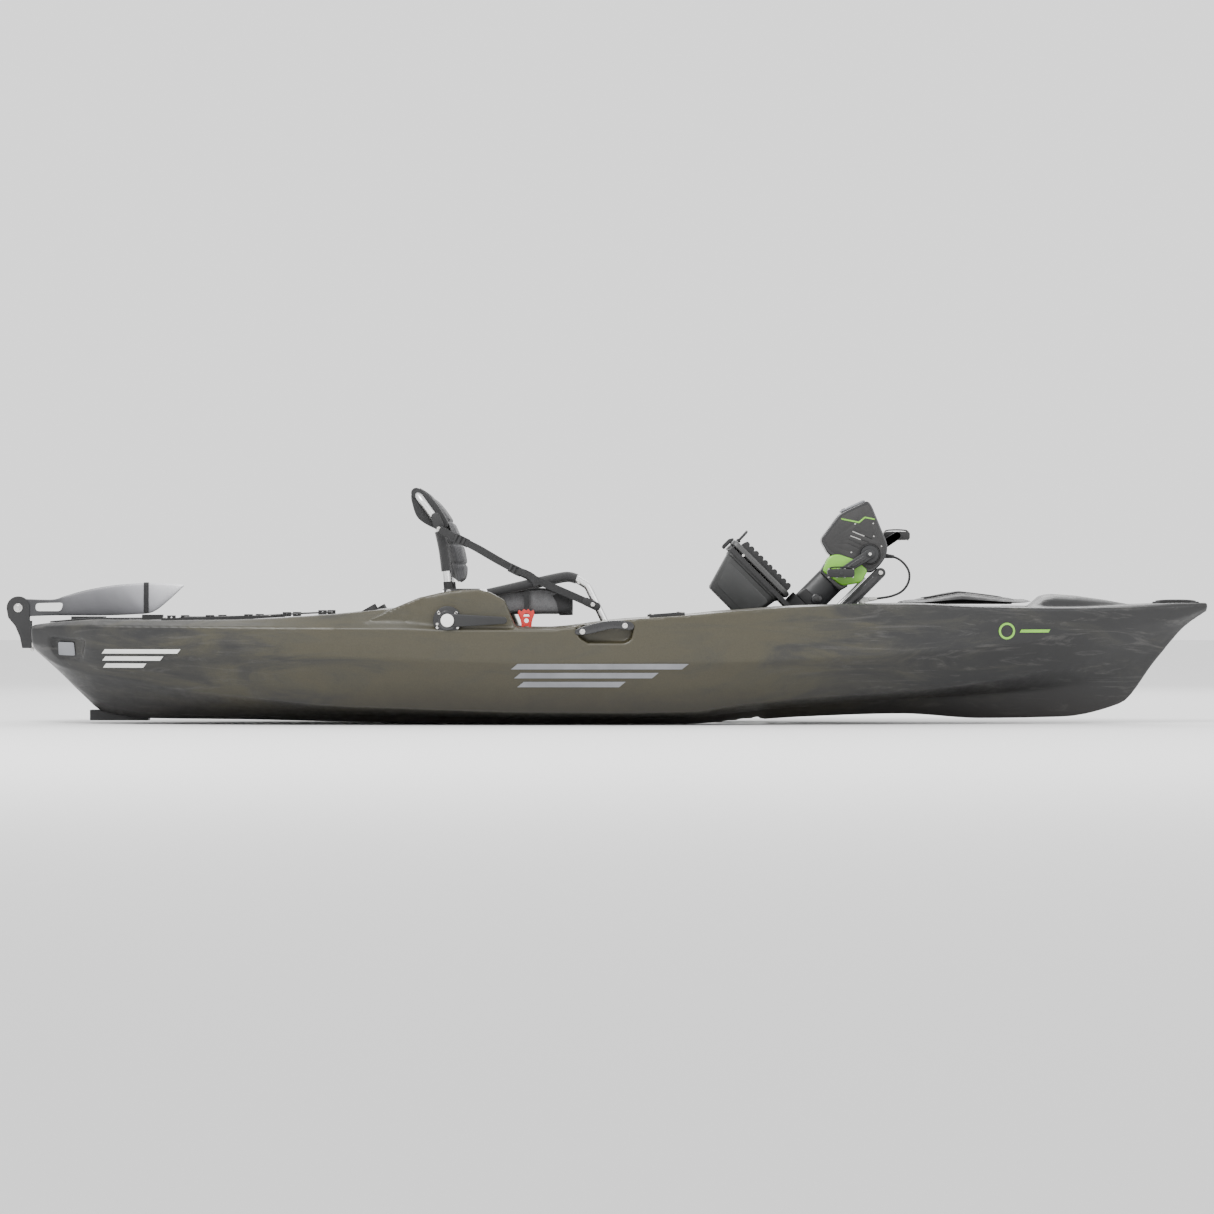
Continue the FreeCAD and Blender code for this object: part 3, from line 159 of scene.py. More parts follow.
def weave(name, color, second, pitch, roughness=0.85, depth=0.0006, turned=False, heather=0.0):
    """Woven cloth: two crossed sets of yarns with a heathered colour."""
    material, tree, shader = principled(name, color, roughness)
    place = place_of(tree)
    separate = tree.nodes.new("ShaderNodeSeparateXYZ")
    link(tree, place, separate.inputs["Vector"])
    yarns = []
    for axis in (("X", "Y") if not turned else ("Y", "Z")):
        wave = tree.nodes.new("ShaderNodeMath")
        wave.operation = "MULTIPLY"
        wave.inputs[1].default_value = 2 * math.pi / pitch
        link(tree, separate.outputs[axis], wave.inputs[0])
        sine = tree.nodes.new("ShaderNodeMath")
        sine.operation = "SINE"
        link(tree, wave.outputs[0], sine.inputs[0])
        yarns.append(sine.outputs[0])
    cross = tree.nodes.new("ShaderNodeMath")
    cross.operation = "MULTIPLY"
    link(tree, yarns[0], cross.inputs[0])
    link(tree, yarns[1], cross.inputs[1])
    fleck = noise_of(tree, place, 420.0, 3.0, 0.7)
    tone = tree.nodes.new("ShaderNodeMath")
    tone.operation = "MULTIPLY_ADD"
    tone.inputs[1].default_value = 0.22
    link(tree, cross.outputs[0], tone.inputs[0])
    link(tree, fleck, tone.inputs[2])
    link(tree, ramp_of(tree, tone.outputs[0], [(0.32 - heather, color), (0.68 + heather, second)]),
         shader.inputs["Base Color"])
    link(tree, bump_of(tree, cross.outputs[0], 0.6, depth), shader.inputs["Normal"])
    shader.inputs["Sheen Weight"].default_value = 0.25
    shader.inputs["Sheen Roughness"].default_value = 0.5
    return material


def scaled(tree, value, factor, offset):
    """factor * value + offset."""
    node = tree.nodes.new("ShaderNodeMath")
    node.operation = "MULTIPLY_ADD"
    node.inputs[1].default_value = factor
    node.inputs[2].default_value = offset
    link(tree, value, node.inputs[0])
    return node.outputs[0]


def summed(tree, first, second, operation="ADD"):
    node = tree.nodes.new("ShaderNodeMath")
    node.operation = operation
    link(tree, first, node.inputs[0])
    link(tree, second, node.inputs[1])
    return node.outputs[0]


def mixed_colors(tree, factor, first, second, blend_type="MIX"):
    node = tree.nodes.new("ShaderNodeMixRGB")
    node.blend_type = blend_type
    link(tree, factor, node.inputs["Fac"])
    link(tree, first, node.inputs["Color1"])
    link(tree, second, node.inputs["Color2"])
    return node.outputs["Color"]


def hull_material():
    """Rotomoulded polyethylene: olive amidships, marbled into charcoal at both ends, with painted shade
    darkening it brown-black towards the bottom.
    """
    material, tree, shader = principled("hull_polyethylene", (0.06, 0.055, 0.035), 0.42)
    place = place_of(tree)
    split = tree.nodes.new("ShaderNodeSeparateXYZ")
    link(tree, place, split.inputs["Vector"])
    swirl = noise_of(tree, place_of(tree, (1.1, 2.4, 4.2)), 1.7, 9.0, 0.66, 1.9)
    stern = spread_of(tree, split.outputs["X"], 1.0, 0.0, -1.9, -0.75)
    bow = spread_of(tree, split.outputs["X"], 0.0, 1.0, 0.35, 1.25)
    ends = summed(tree, stern, bow)
    mask = summed(tree, ends, scaled(tree, swirl, 2.2, -1.1))
    color = ramp_of(tree, mask, [
        (0.0, (0.040, 0.035, 0.019)), (0.3, (0.034, 0.031, 0.019)), (0.55, (0.021, 0.020, 0.016)),
        (0.85, (0.0085, 0.0085, 0.0085)), (1.0, (0.0065, 0.0065, 0.007))])
    smoke = noise_of(tree, place_of(tree, (0.8, 2.0, 6.5)), 2.6, 8.0, 0.7, 2.6)
    streaks = spread_of(tree, smoke, 0.0, 0.55, 0.54, 0.72)
    pale = summed(tree, streaks, spread_of(tree, ends, 0.0, 1.0, 0.15, 0.6), "MULTIPLY")
    pale_color = tree.nodes.new("ShaderNodeRGB")
    pale_color.outputs[0].default_value = (0.085, 0.082, 0.078, 1)
    color = mixed_colors(tree, pale, color, pale_color.outputs[0])
    # Painted shade: below a ragged line low on the flanks the colour fades to brown-black, standing in for
    # the shade on the downward-facing underside.
    ragged_shade_line = scaled(tree, noise_of(tree, place, 5.0, 6.0, 0.7, 1.0), 0.09, -0.045)
    edge = summed(tree, split.outputs["Z"], ragged_shade_line)
    low = spread_of(tree, edge, 0.85, 0.0, 0.01, 0.15)
    # Colour of the painted underside shade.
    bottom = tree.nodes.new("ShaderNodeRGB")
    bottom.outputs[0].default_value = (0.007, 0.005, 0.004, 1)
    color = mixed_colors(tree, low, color, bottom.outputs[0])
    speck = ramp_of(tree, noise_of(tree, place, 260.0, 3.0, 0.8),
                    [(0.35, (0.82, 0.82, 0.82)), (0.7, (1.16, 1.15, 1.12))])
    whole = tree.nodes.new("ShaderNodeValue")
    whole.outputs[0].default_value = 1.0
    link(tree, mixed_colors(tree, whole.outputs[0], color, speck, "MULTIPLY"), shader.inputs["Base Color"])
    wear = noise_of(tree, place, 30.0, 6.0, 0.7)
    link(tree, spread_of(tree, wear, 0.33, 0.5), shader.inputs["Roughness"])
    pebble = noise_of(tree, place, 520.0, 3.0)
    ripple = noise_of(tree, place, 6.0, 2.0)
    gentle = bump_of(tree, ripple, 0.25, 0.008)
    link(tree, bump_of(tree, pebble, 0.25, 0.0006, gentle), shader.inputs["Normal"])
    return material


def blade_material():
    """Moulded rudder blade: charcoal at the hinge, rising through grey to near white at the tip."""
    material, tree, shader = principled("blade_moulding", (0.3, 0.3, 0.31), 0.34)
    place = place_of(tree)
    split = tree.nodes.new("ShaderNodeSeparateXYZ")
    link(tree, place, split.inputs["Vector"])
    cloud = noise_of(tree, place, 4.0, 3.0, 0.5, 0.6)
    height = summed(tree, scaled(tree, split.outputs["Z"], 2.4, -0.98), scaled(tree, cloud, 0.5, -0.25))
    along = spread_of(tree, split.outputs["X"], -0.1, 0.62, -1.98, -1.42)
    link(tree, ramp_of(tree, summed(tree, height, along), [
        (0.0, (0.03, 0.03, 0.033)), (0.3, (0.14, 0.14, 0.15)), (0.55, (0.34, 0.34, 0.36)),
        (0.85, (0.72, 0.72, 0.74))]), shader.inputs["Base Color"])
    fine = noise_of(tree, place_of(tree, (0.3, 1, 1)), 300.0, 3.0)
    link(tree, spread_of(tree, fine, 0.28, 0.42), shader.inputs["Roughness"])
    link(tree, bump_of(tree, fine, 0.1, 0.0003), shader.inputs["Normal"])
    return material


HULL = hull_material()
BLACK = plastic("black_moulding", (0.0088, 0.0088, 0.0094), 0.5)
GLOSS_BLACK = plastic("gloss_black", (0.0072, 0.0072, 0.0084), 0.28, gloss=0.4)
RUBBER = plastic("soft_rubber", (0.012, 0.012, 0.0126), 0.72, grain=600.0, bump=0.4)
FOAM = plastic("foam_pad", (0.021, 0.0216, 0.0228), 0.9, grain=380.0, bump=0.6)
STEEL = metal("stainless_steel", (0.62, 0.61, 0.59), 0.28)
TUBE = metal("satin_aluminium", (0.80, 0.80, 0.80), 0.33, brushed=(0.2, 1, 1))
ANODISED = metal("black_anodised", (0.0165, 0.0171, 0.0182), 0.4, painted=True)
BLADE = blade_material()
CHARCOAL = plastic("charcoal_housing", (0.0192, 0.0186, 0.0186), 0.55, grain=1300.0, bump=0.5)
CONSOLE = plastic("console_grey", (0.028, 0.0287, 0.0287), 0.5)
CONSOLE_RIM = plastic("console_rim", (0.0465, 0.0465, 0.0465), 0.42)
GREY_HOUSING = plastic("housing_grey", (0.19, 0.195, 0.21), 0.42)
GREEN = plastic("green_moulding", (0.16, 0.42, 0.03), 0.35, gloss=0.3)
RED = plastic("red_moulding", (0.55, 0.02, 0.015), 0.38, gloss=0.2)
WHITE = plastic("white_moulding", (0.74, 0.74, 0.71), 0.4, mottle=0.05)
MESH_GREY = weave("heather_mesh", (0.04, 0.04, 0.042), (0.168, 0.168, 0.172), 0.004, heather=0.05)
SEAT_CLOTH = weave("seat_cloth", (0.0266, 0.0266, 0.0285), (0.076, 0.076, 0.0798), 0.003)
BLACK_CLOTH = weave("black_cloth", (0.0066, 0.0066, 0.0072), (0.0248, 0.0248, 0.0259), 0.003)
WEBBING = weave("webbing", (0.0055, 0.0055, 0.006), (0.0275, 0.0275, 0.0286), 0.0024, depth=0.001)

NODE_LOOKS = {
    "hull_shell": HULL, "deck_screws": STEEL, "keel_skid_plate": BLACK, "gunwale_rails": BLACK,
    "steering_bases": BLACK, "steering_lever_left": BLACK, "steering_lever_right": BLACK,
    "steering_cap_left": WHITE, "steering_cap_right": WHITE, "side_handles": RUBBER, "rod_holders": BLACK,
    "deck_pads": FOAM, "bow_handle": WEBBING, "stern_rest": BLACK, "bungee_pad_eyes": BLACK,
    "bungee_cord": WEBBING, "front_hatch_seal": RUBBER, "front_hatch_lid": BLACK, "hatch_straps": WEBBING,
    "stern_bracket": STEEL, "rudder_hinge_pin": STEEL, "rudder_head": BLACK, "rudder_pivot_bolt": STEEL,
    "rudder_blade": BLADE, "rudder_lines": WEBBING, "seat_tracks": TUBE, "seat_base_frame": TUBE,
    "track_lock_knobs": BLACK, "seat_sling": MESH_GREY, "seat_cushion": SEAT_CLOTH, "seat_back_frame": TUBE,
    "seat_back_cushion": SEAT_CLOTH, "seat_straps": WEBBING, "seat_pivot_bolts": STEEL, "release_tab": RED,
    "dock_brackets": ANODISED, "dock_hinge_pin": STEEL, "power_cable": RUBBER, "power_socket": WHITE,
    "cable_gland": BLACK, "pedal_right": BLACK, "pedal_left": BLACK, "dock_tray": BLACK,
    "drive_cover_right": GREY_HOUSING, "drive_cover_left": GREY_HOUSING, "display_panel": GLOSS_BLACK,
    "drive_motor": STEEL, "crank_gear": STEEL, "crank_set": ANODISED, "drive_shaft": STEEL,
    "drive_collar": GREEN, "drive_leg": ANODISED, "propeller": BLACK, "lift_handle": ANODISED,
    "console_tub": CONSOLE, "console_lid": CONSOLE_RIM, "lid_pad": FOAM, "console_latch": BLACK,
    "console_bail": WEBBING, "battery": BLACK,
}
for node, look in NODE_LOOKS.items():
    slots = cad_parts[node].data.materials
    slots.clear()
    slots.append(look)


# ---------------------------------------------------------------- mesh helpers

def new_object(name, mesh, look, body=None):
    thing = bpy.data.objects.new(name, mesh)
    collection.objects.link(thing)
    if look is not None:
        mesh.materials.clear()
        mesh.materials.append(look)
    if body:
        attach(thing, body)
    return thing


def mesh_of(name, points, faces, smooth=True):
    mesh = bpy.data.meshes.new(name)
    mesh.from_pydata([tuple(p) for p in points], [], faces)
    tidy = bmesh.new()
    tidy.from_mesh(mesh)
    bmesh.ops.recalc_face_normals(tidy, faces=tidy.faces)
    tidy.to_mesh(mesh)
    tidy.free()
    for face in mesh.polygons:
        face.use_smooth = smooth
    return mesh


def skin_rings(rings, closed=True, cap=True):
    """Points and faces of a skin over equal rings of points."""
    points = [p for ring in rings for p in ring]
    count = len(rings[0])
    faces = []
    for row in range(len(rings) - 1):
        for i in range(count if closed else count - 1):
            j = (i + 1) % count
            faces.append((row * count + i, row * count + j, (row + 1) * count + j, (row + 1) * count + i))
    if cap:
        faces.append(tuple(range(count)))
        faces.append(tuple(range((len(rings) - 1) * count, len(rings) * count))[::-1])
    return points, faces


def rounded_rectangle(x0, x1, y0, y1, radius, steps=6):
    loop = []
    for cx, cy, start in ((x1 - radius, y1 - radius, 0), (x0 + radius, y1 - radius, 90),
                          (x0 + radius, y0 + radius, 180), (x1 - radius, y0 + radius, 270)):
        for step in range(steps + 1):
            angle = math.radians(start + 90 * step / steps)
            loop.append((cx + radius * math.cos(angle), cy + radius * math.sin(angle)))
    return loop


def pocket(x0, x1, y0, y1, z0, z1, corner, draft=0.0, floor=0.0):
    """A closed rounded box that widens upwards, with a rounded floor edge; millimetres in, metres out."""
    rings = []
    levels = 5 if floor else 0
    for level in range(levels):
        angle = math.pi / 2 * level / levels
        inset = floor * (1 - math.sin(angle))
        z = z0 + floor * (1 - math.cos(angle))
        loop = rounded_rectangle(x0 + inset, x1 - inset, y0 + inset, y1 - inset, max(1, corner - inset * 0.5))
        rings.append([(x * MM, y * MM, z * MM) for x, y in loop])
    for z, grow in ((z0 + floor, 0.0), (z1, draft)):
        loop = rounded_rectangle(x0 - grow, x1 + grow, y0 - grow, y1 + grow, corner + grow)
        rings.append([(x * MM, y * MM, z * MM) for x, y in loop])
    return mesh_of("pocket", *skin_rings(rings))


def side_shape(outline, y0, y1):
    """A closed outline of (x, z) millimetres carried across from y0 to y1."""
    rings = [[(x * MM, y * MM, z * MM) for x, z in outline] for y in (y0, y1)]
    return mesh_of("side_shape", *skin_rings(rings))


def smooth_outline(corners, steps=6):
    """A closed Catmull-Rom curve through the corners."""
    points = []
    count = len(corners)
    for i in range(count):
        p0, p1, p2, p3 = (Vector(corners[(i + k) % count]) for k in (-1, 0, 1, 2))
        for step in range(steps):
            t = step / steps
            point = 0.5 * (2 * p1 + (p2 - p0) * t + (2 * p0 - 5 * p1 + 4 * p2 - p3) * t * t
                           + (3 * p1 - p0 - 3 * p2 + p3) * t ** 3)
            points.append(tuple(point))
    return points


def apply_modifiers(thing):
    """Replace the mesh by the result of the modifiers."""
    graph = bpy.context.evaluated_depsgraph_get()
    result = bpy.data.meshes.new_from_object(thing.evaluated_get(graph))
    thing.modifiers.clear()
    old = thing.data
    thing.data = result
    bpy.data.meshes.remove(old)
    return thing


def combine(thing, mesh, operation):
    """Boolean of a solid with one more mesh."""
    other = bpy.data.objects.new("tool", mesh)
    collection.objects.link(other)
    modifier = thing.modifiers.new("boolean", "BOOLEAN")
    modifier.operation = operation
    modifier.solver = "MANIFOLD"
    modifier.object = other
    apply_modifiers(thing)
    bpy.data.objects.remove(other)
    return thing


# ---------------------------------------------------------------- hull

HULL_LENGTH = 4013
STERN_X = -1955
# Distance from the transom, keel height, half width of the flat, then half width and height of the bilge,
# chine, two side creases, gunwale and shoulder, and last the height of the deck's middle; millimetres.
HULL_LINES = [
    (0, 250, 40, 70, 254, 112, 262, 150, 276, 165, 302, 168, 324, 150, 336, 339),
    (79, 180, 45, 90, 188, 160, 208, 212, 262, 226, 313, 230, 333, 198, 345, 348),
    (161, 100, 50, 108, 118, 200, 182, 262, 258, 276, 308, 280, 334, 240, 352, 355),
    (235, 40, 55, 118, 72, 232, 170, 306, 254, 320, 300, 326, 335, 280, 356, 359),
    (401, 18, 70, 135, 38, 278, 141, 350, 246, 366, 285, 372, 333, 322, 353, 357),
    (710, 15, 90, 160, 28, 332, 100, 405, 238, 420, 277, 427, 330, 372, 356, 358),
    (1039, 8, 110, 182, 34, 345, 66, 440, 232, 450, 277, 455, 326, 398, 374, 377),
    (1259, 4, 120, 190, 30, 350, 57, 446, 224, 454, 272, 457, 323, 402, 392, 397),
    (1410, 2, 130, 192, 27, 352, 52, 448, 218, 455, 268, 457, 322, 402, 350, 352),
    (1742, 0, 135, 195, 20, 355, 43, 452, 211, 457, 267, 457, 322, 402, 330, 331),
    (1985, 0, 135, 193, 20, 354, 42, 452, 211, 457, 267, 457, 352, 402, 356, 357),
    (2240, 0, 132, 188, 22, 348, 46, 448, 212, 454, 272, 455, 371, 398, 375, 376),
    (2373, 8, 120, 172, 38, 332, 64, 432, 214, 440, 287, 442, 383, 388, 388, 390),
    (2620, 24, 100, 150, 60, 300, 89, 405, 223, 415, 311, 419, 399, 362, 404, 406),
    (2960, 34, 70, 115, 84, 252, 112, 350, 240, 362, 342, 367, 408, 312, 411, 413),
    (3234, 18, 45, 85, 100, 200, 144, 287, 262, 302, 360, 307, 397, 256, 402, 404),
    (3509, 22, 26, 55, 125, 138, 195, 208, 298, 226, 366, 231, 393, 192, 399, 402),
    (3715, 68, 14, 34, 175, 82, 254, 136, 330, 156, 374, 161, 394, 131, 403, 408),
    (3835, 215, 9, 22, 252, 50, 300, 86, 346, 101, 380, 105, 398, 85, 408, 412),
    (3938, 333, 5, 12, 342, 27, 354, 46, 368, 55, 387, 58, 402, 47, 411, 414),
    (4013, 384, 2, 5, 387, 10, 390, 17, 395, 20, 401, 21, 407, 17, 411, 413),
]
DECK_Z = 15
HULL_TRIANGLES = 170000
SECTION_CORNERS = ((2, 1), (3, 4), (5, 6), (7, 8), (9, 10), (11, 12), (13, 14))
SECTION_STEPS = (3, 5, 6, 3, 4, 4, 8)


def slope_at(row, column):
    """A slope that never overshoots its neighbours."""
    before, here, after = (HULL_LINES[max(0, min(len(HULL_LINES) - 1, row + k))] for k in (-1, 0, 1))
    if row in (0, len(HULL_LINES) - 1):
        return (after[column] - before[column]) / (after[0] - before[0])
    left = (here[column] - before[column]) / (here[0] - before[0])
    right = (after[column] - here[column]) / (after[0] - here[0])
    if left * right <= 0:
        return 0.0
    return 2 * left * right / (left + right)


def hull_line(x, column):
    """One of the hull's lines, read smoothly at x millimetres."""
    at = min(max(x - STERN_X, 0), HULL_LENGTH)
    row = 0
    while HULL_LINES[row + 1][0] < at:
        row += 1
    low, high = HULL_LINES[row], HULL_LINES[row + 1]
    span = high[0] - low[0]
    t = (at - low[0]) / span
    a, b = low[column], high[column]
    m0, m1 = slope_at(row, column) * span, slope_at(row + 1, column) * span
    return ((2 * t ** 3 - 3 * t * t + 1) * a + (t ** 3 - 2 * t * t + t) * m0
            + (3 * t * t - 2 * t ** 3) * b + (t ** 3 - t * t) * m1)


def hull_section(x):
    corners = [(hull_line(x, wide), hull_line(x, high)) for wide, high in SECTION_CORNERS]
    corners.append((0, hull_line(x, DECK_Z)))
    half = []
    for (y0, z0), (y1, z1), steps in zip(corners, corners[1:], SECTION_STEPS):
        for step in range(steps):
            half.append((y0 + (y1 - y0) * step / steps, z0 + (z1 - z0) * step / steps))
    half.append(corners[-1])
    starboard = [(-y, z) for y, z in reversed(half[:-1])]
    return half + starboard


def hull_side_y(x, z):
    """Half width of the hull's side at x and z."""
    corners = [(hull_line(x, wide), hull_line(x, high)) for wide, high in SECTION_CORNERS[:6]]
    for (y0, z0), (y1, z1) in zip(corners, corners[1:]):
        if z0 <= z <= z1:
            return y0 + (y1 - y0) * (z - z0) / max(z1 - z0, 1e-6)
    return corners[-1][0]


def loft_hull():
    stations = 200
    rings = []
    for i in range(stations + 1):
        x = STERN_X + HULL_LENGTH * i / stations
        rings.append([(x * MM, y * MM, z * MM) for y, z in hull_section(x)])
    return mesh_of("hull_skin", *skin_rings(rings))


POD = [(-850, 300), (-833, 336), (-760, 373), (-707, 398), (-660, 418), (-624, 432), (-552, 449), (-497, 456),
       (-432, 459), (-391, 449), (-360, 432), (-343, 422), (-322, 370), (-302, 322), (-302, 300)]


def pod_shape(side):
    """The raised shoulder beside the seat, narrower towards its top."""
    rings = []
    for y, shrink in ((436, 1.0), (438, 1.0), (430, 0.985), (300, 0.985), (287, 1.0)):
        ring = []
        for x, z in POD:
            rise = (z - 300) * shrink + 300
            lean = 10 if y > 400 and z > 420 else 0
            ring.append((x * MM, side * (y - lean) * MM, rise * MM))
        rings.append(ring)
    return mesh_of("pod", *skin_rings(rings))


def hump_shape():
    """The raised bow deck ahead of the hatch, hollowed on its aft face."""
    rings = []
    for x, top, half in ((1446, 402, 175), (1484, 438, 170), (1516, 444, 160), (1600, 438, 135), (1700,
                                                                                                  424, 100),
                         (1790, 408, 62), (1825, 400, 50)):
        ring = []
        for i in range(13):
            angle = math.pi * i / 12
            ring.append((x * MM, half * math.cos(angle) * MM,
                         (380 + (top - 380) * math.sin(angle) ** 0.45) * MM))
        rings.append(ring)
    return mesh_of("hump", *skin_rings(rings))


def side_pocket(outline, depth, side):
    """A shallow recess that follows the hull's side."""
    rings = []
    for reach in (-depth, 40):
        rings.append([(x * MM, side * (hull_side_y(x, z) + reach) * MM, z * MM) for x, z in outline])
    return mesh_of("side_pocket", *skin_rings(rings))


def hull_cutters():
    """The hollows of the deck and the moulded recesses of the sides."""
    cutters = [
        pocket(-640, 560, -270, 270, 92, 620, 60, 12, 24),
        pocket(520, 950, -200, 200, 230, 620, 38, 10, 18),
        pocket(200, 530, -122, 122, -50, 300, 30),
        pocket(500, 715, -52, 52, -50, 400, 20),
        pocket(-1490, -930, -230, 230, 200, 620, 60, 14, 24),
        pocket(1070, 1350, -125, 125, 235, 620, 40, 4, 10),
        pocket(1000, 1444, -171, 171, 408, 620, 30),
    ]
    for side in (-1, 1):
        span = sorted((side * 425, side * 520))
        cutters.append(side_shape([(-103, 316), (-88, 292), (-66, 279), (62, 279), (82, 292), (89, 338),
                                   (-103, 338)], *span))
        cutters.append(side_pocket([(-1893, 292), (-1880, 296), (-1768, 290), (-1758, 282), (-1772, 226),
                                    (-1786, 217), (-1850, 222), (-1868, 236)], 12, side))
        for x in (134, 146, 251, 263):
            cutters.append(side_pocket([(x - 3, 274), (x + 3, 274), (x + 3, 348), (x - 3, 348)], 4, side))
    return cutters


def hull_skin():
    hull = new_object("hull_skin", loft_hull(), HULL)
    for side in (-1, 1):
        combine(hull, pod_shape(side), "UNION")
    combine(hull, hump_shape(), "UNION")
    for cutter in hull_cutters():
        combine(hull, cutter, "DIFFERENCE")
    remesh = hull.modifiers.new("remesh", "REMESH")
    remesh.mode = "VOXEL"
    remesh.voxel_size = 0.0065
    apply_modifiers(hull)
    smooth = hull.modifiers.new("smooth", "SMOOTH")
    smooth.factor = 0.5
    smooth.iterations = 2
    thin = hull.modifiers.new("thin", "DECIMATE")
    thin.ratio = HULL_TRIANGLES / (2 * len(hull.data.polygons))
    apply_modifiers(hull)
    for face in hull.data.polygons:
        face.use_smooth = True
    hull.data.materials.clear()
    hull.data.materials.append(HULL)
    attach(hull, "hull")
    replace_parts(hull, "hull_shell")
    return hull


hull_skin()


# ---------------------------------------------------------------- piece builders

DOCK_X, DOCK_Z = 792.0, 285.0
COS_DOCK = math.sqrt(0.5)


def parked(x, z):
    """A point of the drive in its working pose, turned up with the drive to its parked pose."""
    dx, dz = x - DOCK_X, z - DOCK_Z
    return DOCK_X + COS_DOCK * (dx + dz), DOCK_Z + COS_DOCK * (dz - dx)


def shade_by_angle(thing, angle=38):
    for face in thing.data.polygons:
        face.use_smooth = True
    thing.data.set_sharp_from_angle(angle=math.radians(angle))
    return thing


def bevelled(thing, width, segments=3):
    if width:
        bevel = thing.modifiers.new("bevel", "BEVEL")
        bevel.width = width * MM
        bevel.segments = segments
        bevel.limit_method = "ANGLE"
        bevel.angle_limit = math.radians(32)
        apply_modifiers(thing)
    return shade_by_angle(thing)


def round_corners(corners, radius, steps=5):
    """A closed outline with each corner turned by an arc-like curve."""
    points = []
    count = len(corners)
    for i in range(count):
        before, here, after = (Vector(corners[(i + k) % count]) for k in (-1, 0, 1))
        start = here + (before - here).normalized() * min(radius, (before - here).length * 0.45)
        end = here + (after - here).normalized() * min(radius, (after - here).length * 0.45)
        for step in range(steps + 1):
            t = step / steps
            points.append(tuple(start * (1 - t) ** 2 + here * 2 * t * (1 - t) + end * t * t))
    return points


def plate(name, outline, y0, y1, look, body, bevel=1.5, cuts=()):
    """An (x, z) outline carried from y0 to y1, with optional cutting outlines, and softened edges."""
    low, high = sorted((y0, y1))
    thing = new_object(name, side_shape(outline, low, high), look)
    for cut in cuts:
        combine(thing, side_shape(cut, low - 20, high + 20), "DIFFERENCE")
    bevelled(thing, bevel)
    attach(thing, body)
    return thing


def circle(x, z, radius, steps=40):
    return [(x + radius * math.cos(2 * math.pi * i / steps), z + radius * math.sin(2 * math.pi * i / steps))
            for i in range(steps)]


def bar_outline(start, end, half0, half1=None, round_ends=True):
    """Outline of a bar between two (x, z) points, with half widths at its ends."""
    half1 = half0 if half1 is None else half1
    run = Vector((end[0] - start[0], end[1] - start[1]))
    heading = math.atan2(run.y, run.x)
    points = []
    for (cx, cz), half, turn in ((end, half1, -90), (start, half0, 90)):
        steps = 10 if round_ends else 1
        for step in range(steps + 1):
            angle = heading + math.radians(turn + 180 * step / steps)
            points.append((cx + half * math.cos(angle), cz + half * math.sin(angle)))
    return points


def smooth_run(corners, steps=6):
    """An open Catmull-Rom curve through the corners."""
    points = []
    last = len(corners) - 1
    for i in range(last):
        p0, p1, p2, p3 = (Vector(corners[min(max(i + k, 0), last)]) for k in (-1, 0, 1, 2))
        for step in range(steps):
            t = step / steps
            points.append(0.5 * (2 * p1 + (p2 - p0) * t + (2 * p0 - 5 * p1 + 4 * p2 - p3) * t * t
                                 + (3 * p1 - p0 - 3 * p2 + p3) * t ** 3))
    points.append(Vector(corners[-1]))
    return points


STRAP_EDGE = ((-1, -0.6), (-0.97, -1), (0.97, -1), (1, -0.6), (1, 0.6), (0.97, 1), (-0.97, 1), (-1, 0.6))


def ribbon(name, corners, across, width, thickness, look, body, steps=5):
    """A flat strap along the corners, as wide as width in the direction across."""
    run = smooth_run(corners, steps)
    across = Vector(across).normalized()
    rings = []
    for i, point in enumerate(run):
        along = (run[min(i + 1, len(run) - 1)] - run[max(i - 1, 0)]).normalized()
        side = (across - along * across.dot(along)).normalized()
        up = along.cross(side)
        ring = []
        for a, b in STRAP_EDGE:
            ring.append(tuple((point + side * a * width / 2 + up * b * thickness / 2) * MM))
        rings.append(ring)
    thing = new_object(name, mesh_of(name, *skin_rings(rings)), look, body)
    return shade_by_angle(thing)


def pipe(name, corners, radius, look, body, order=3, closed=False, sides=4):
    """A round rod or sleeve along a smooth line near the corners."""
    curve = bpy.data.curves.new(name, "CURVE")
    curve.dimensions = "3D"
    curve.bevel_depth = radius * MM
    curve.bevel_resolution = sides
    curve.use_fill_caps = True
    spline = curve.splines.new("NURBS")
    spline.points.add(len(corners) - 1)
    for point, place in zip(spline.points, corners):
        point.co = (place[0] * MM, place[1] * MM, place[2] * MM, 1)
    spline.order_u = order
    spline.use_cyclic_u = closed
    spline.use_endpoint_u = not closed
    spline.resolution_u = 8
    shape = bpy.data.objects.new(name + "_line", curve)
    collection.objects.link(shape)
    mesh = bpy.data.meshes.new_from_object(shape.evaluated_get(bpy.context.evaluated_depsgraph_get()))
    bpy.data.objects.remove(shape)
    thing = new_object(name, mesh, look, body)
    return shade_by_angle(thing)


def disc(name, x, z, radius, y0, y1, look, body, bevel=1.0, slot=None):
    return plate(name, circle(x, z, radius), y0, y1, look, body, bevel)


def both(build):
    """Build a piece for starboard (-1) and port (+1)."""
    return [build(side, word) for side, word in ((-1, "right"), (1, "left"))]


# ---------------------------------------------------------------- pads and cloth

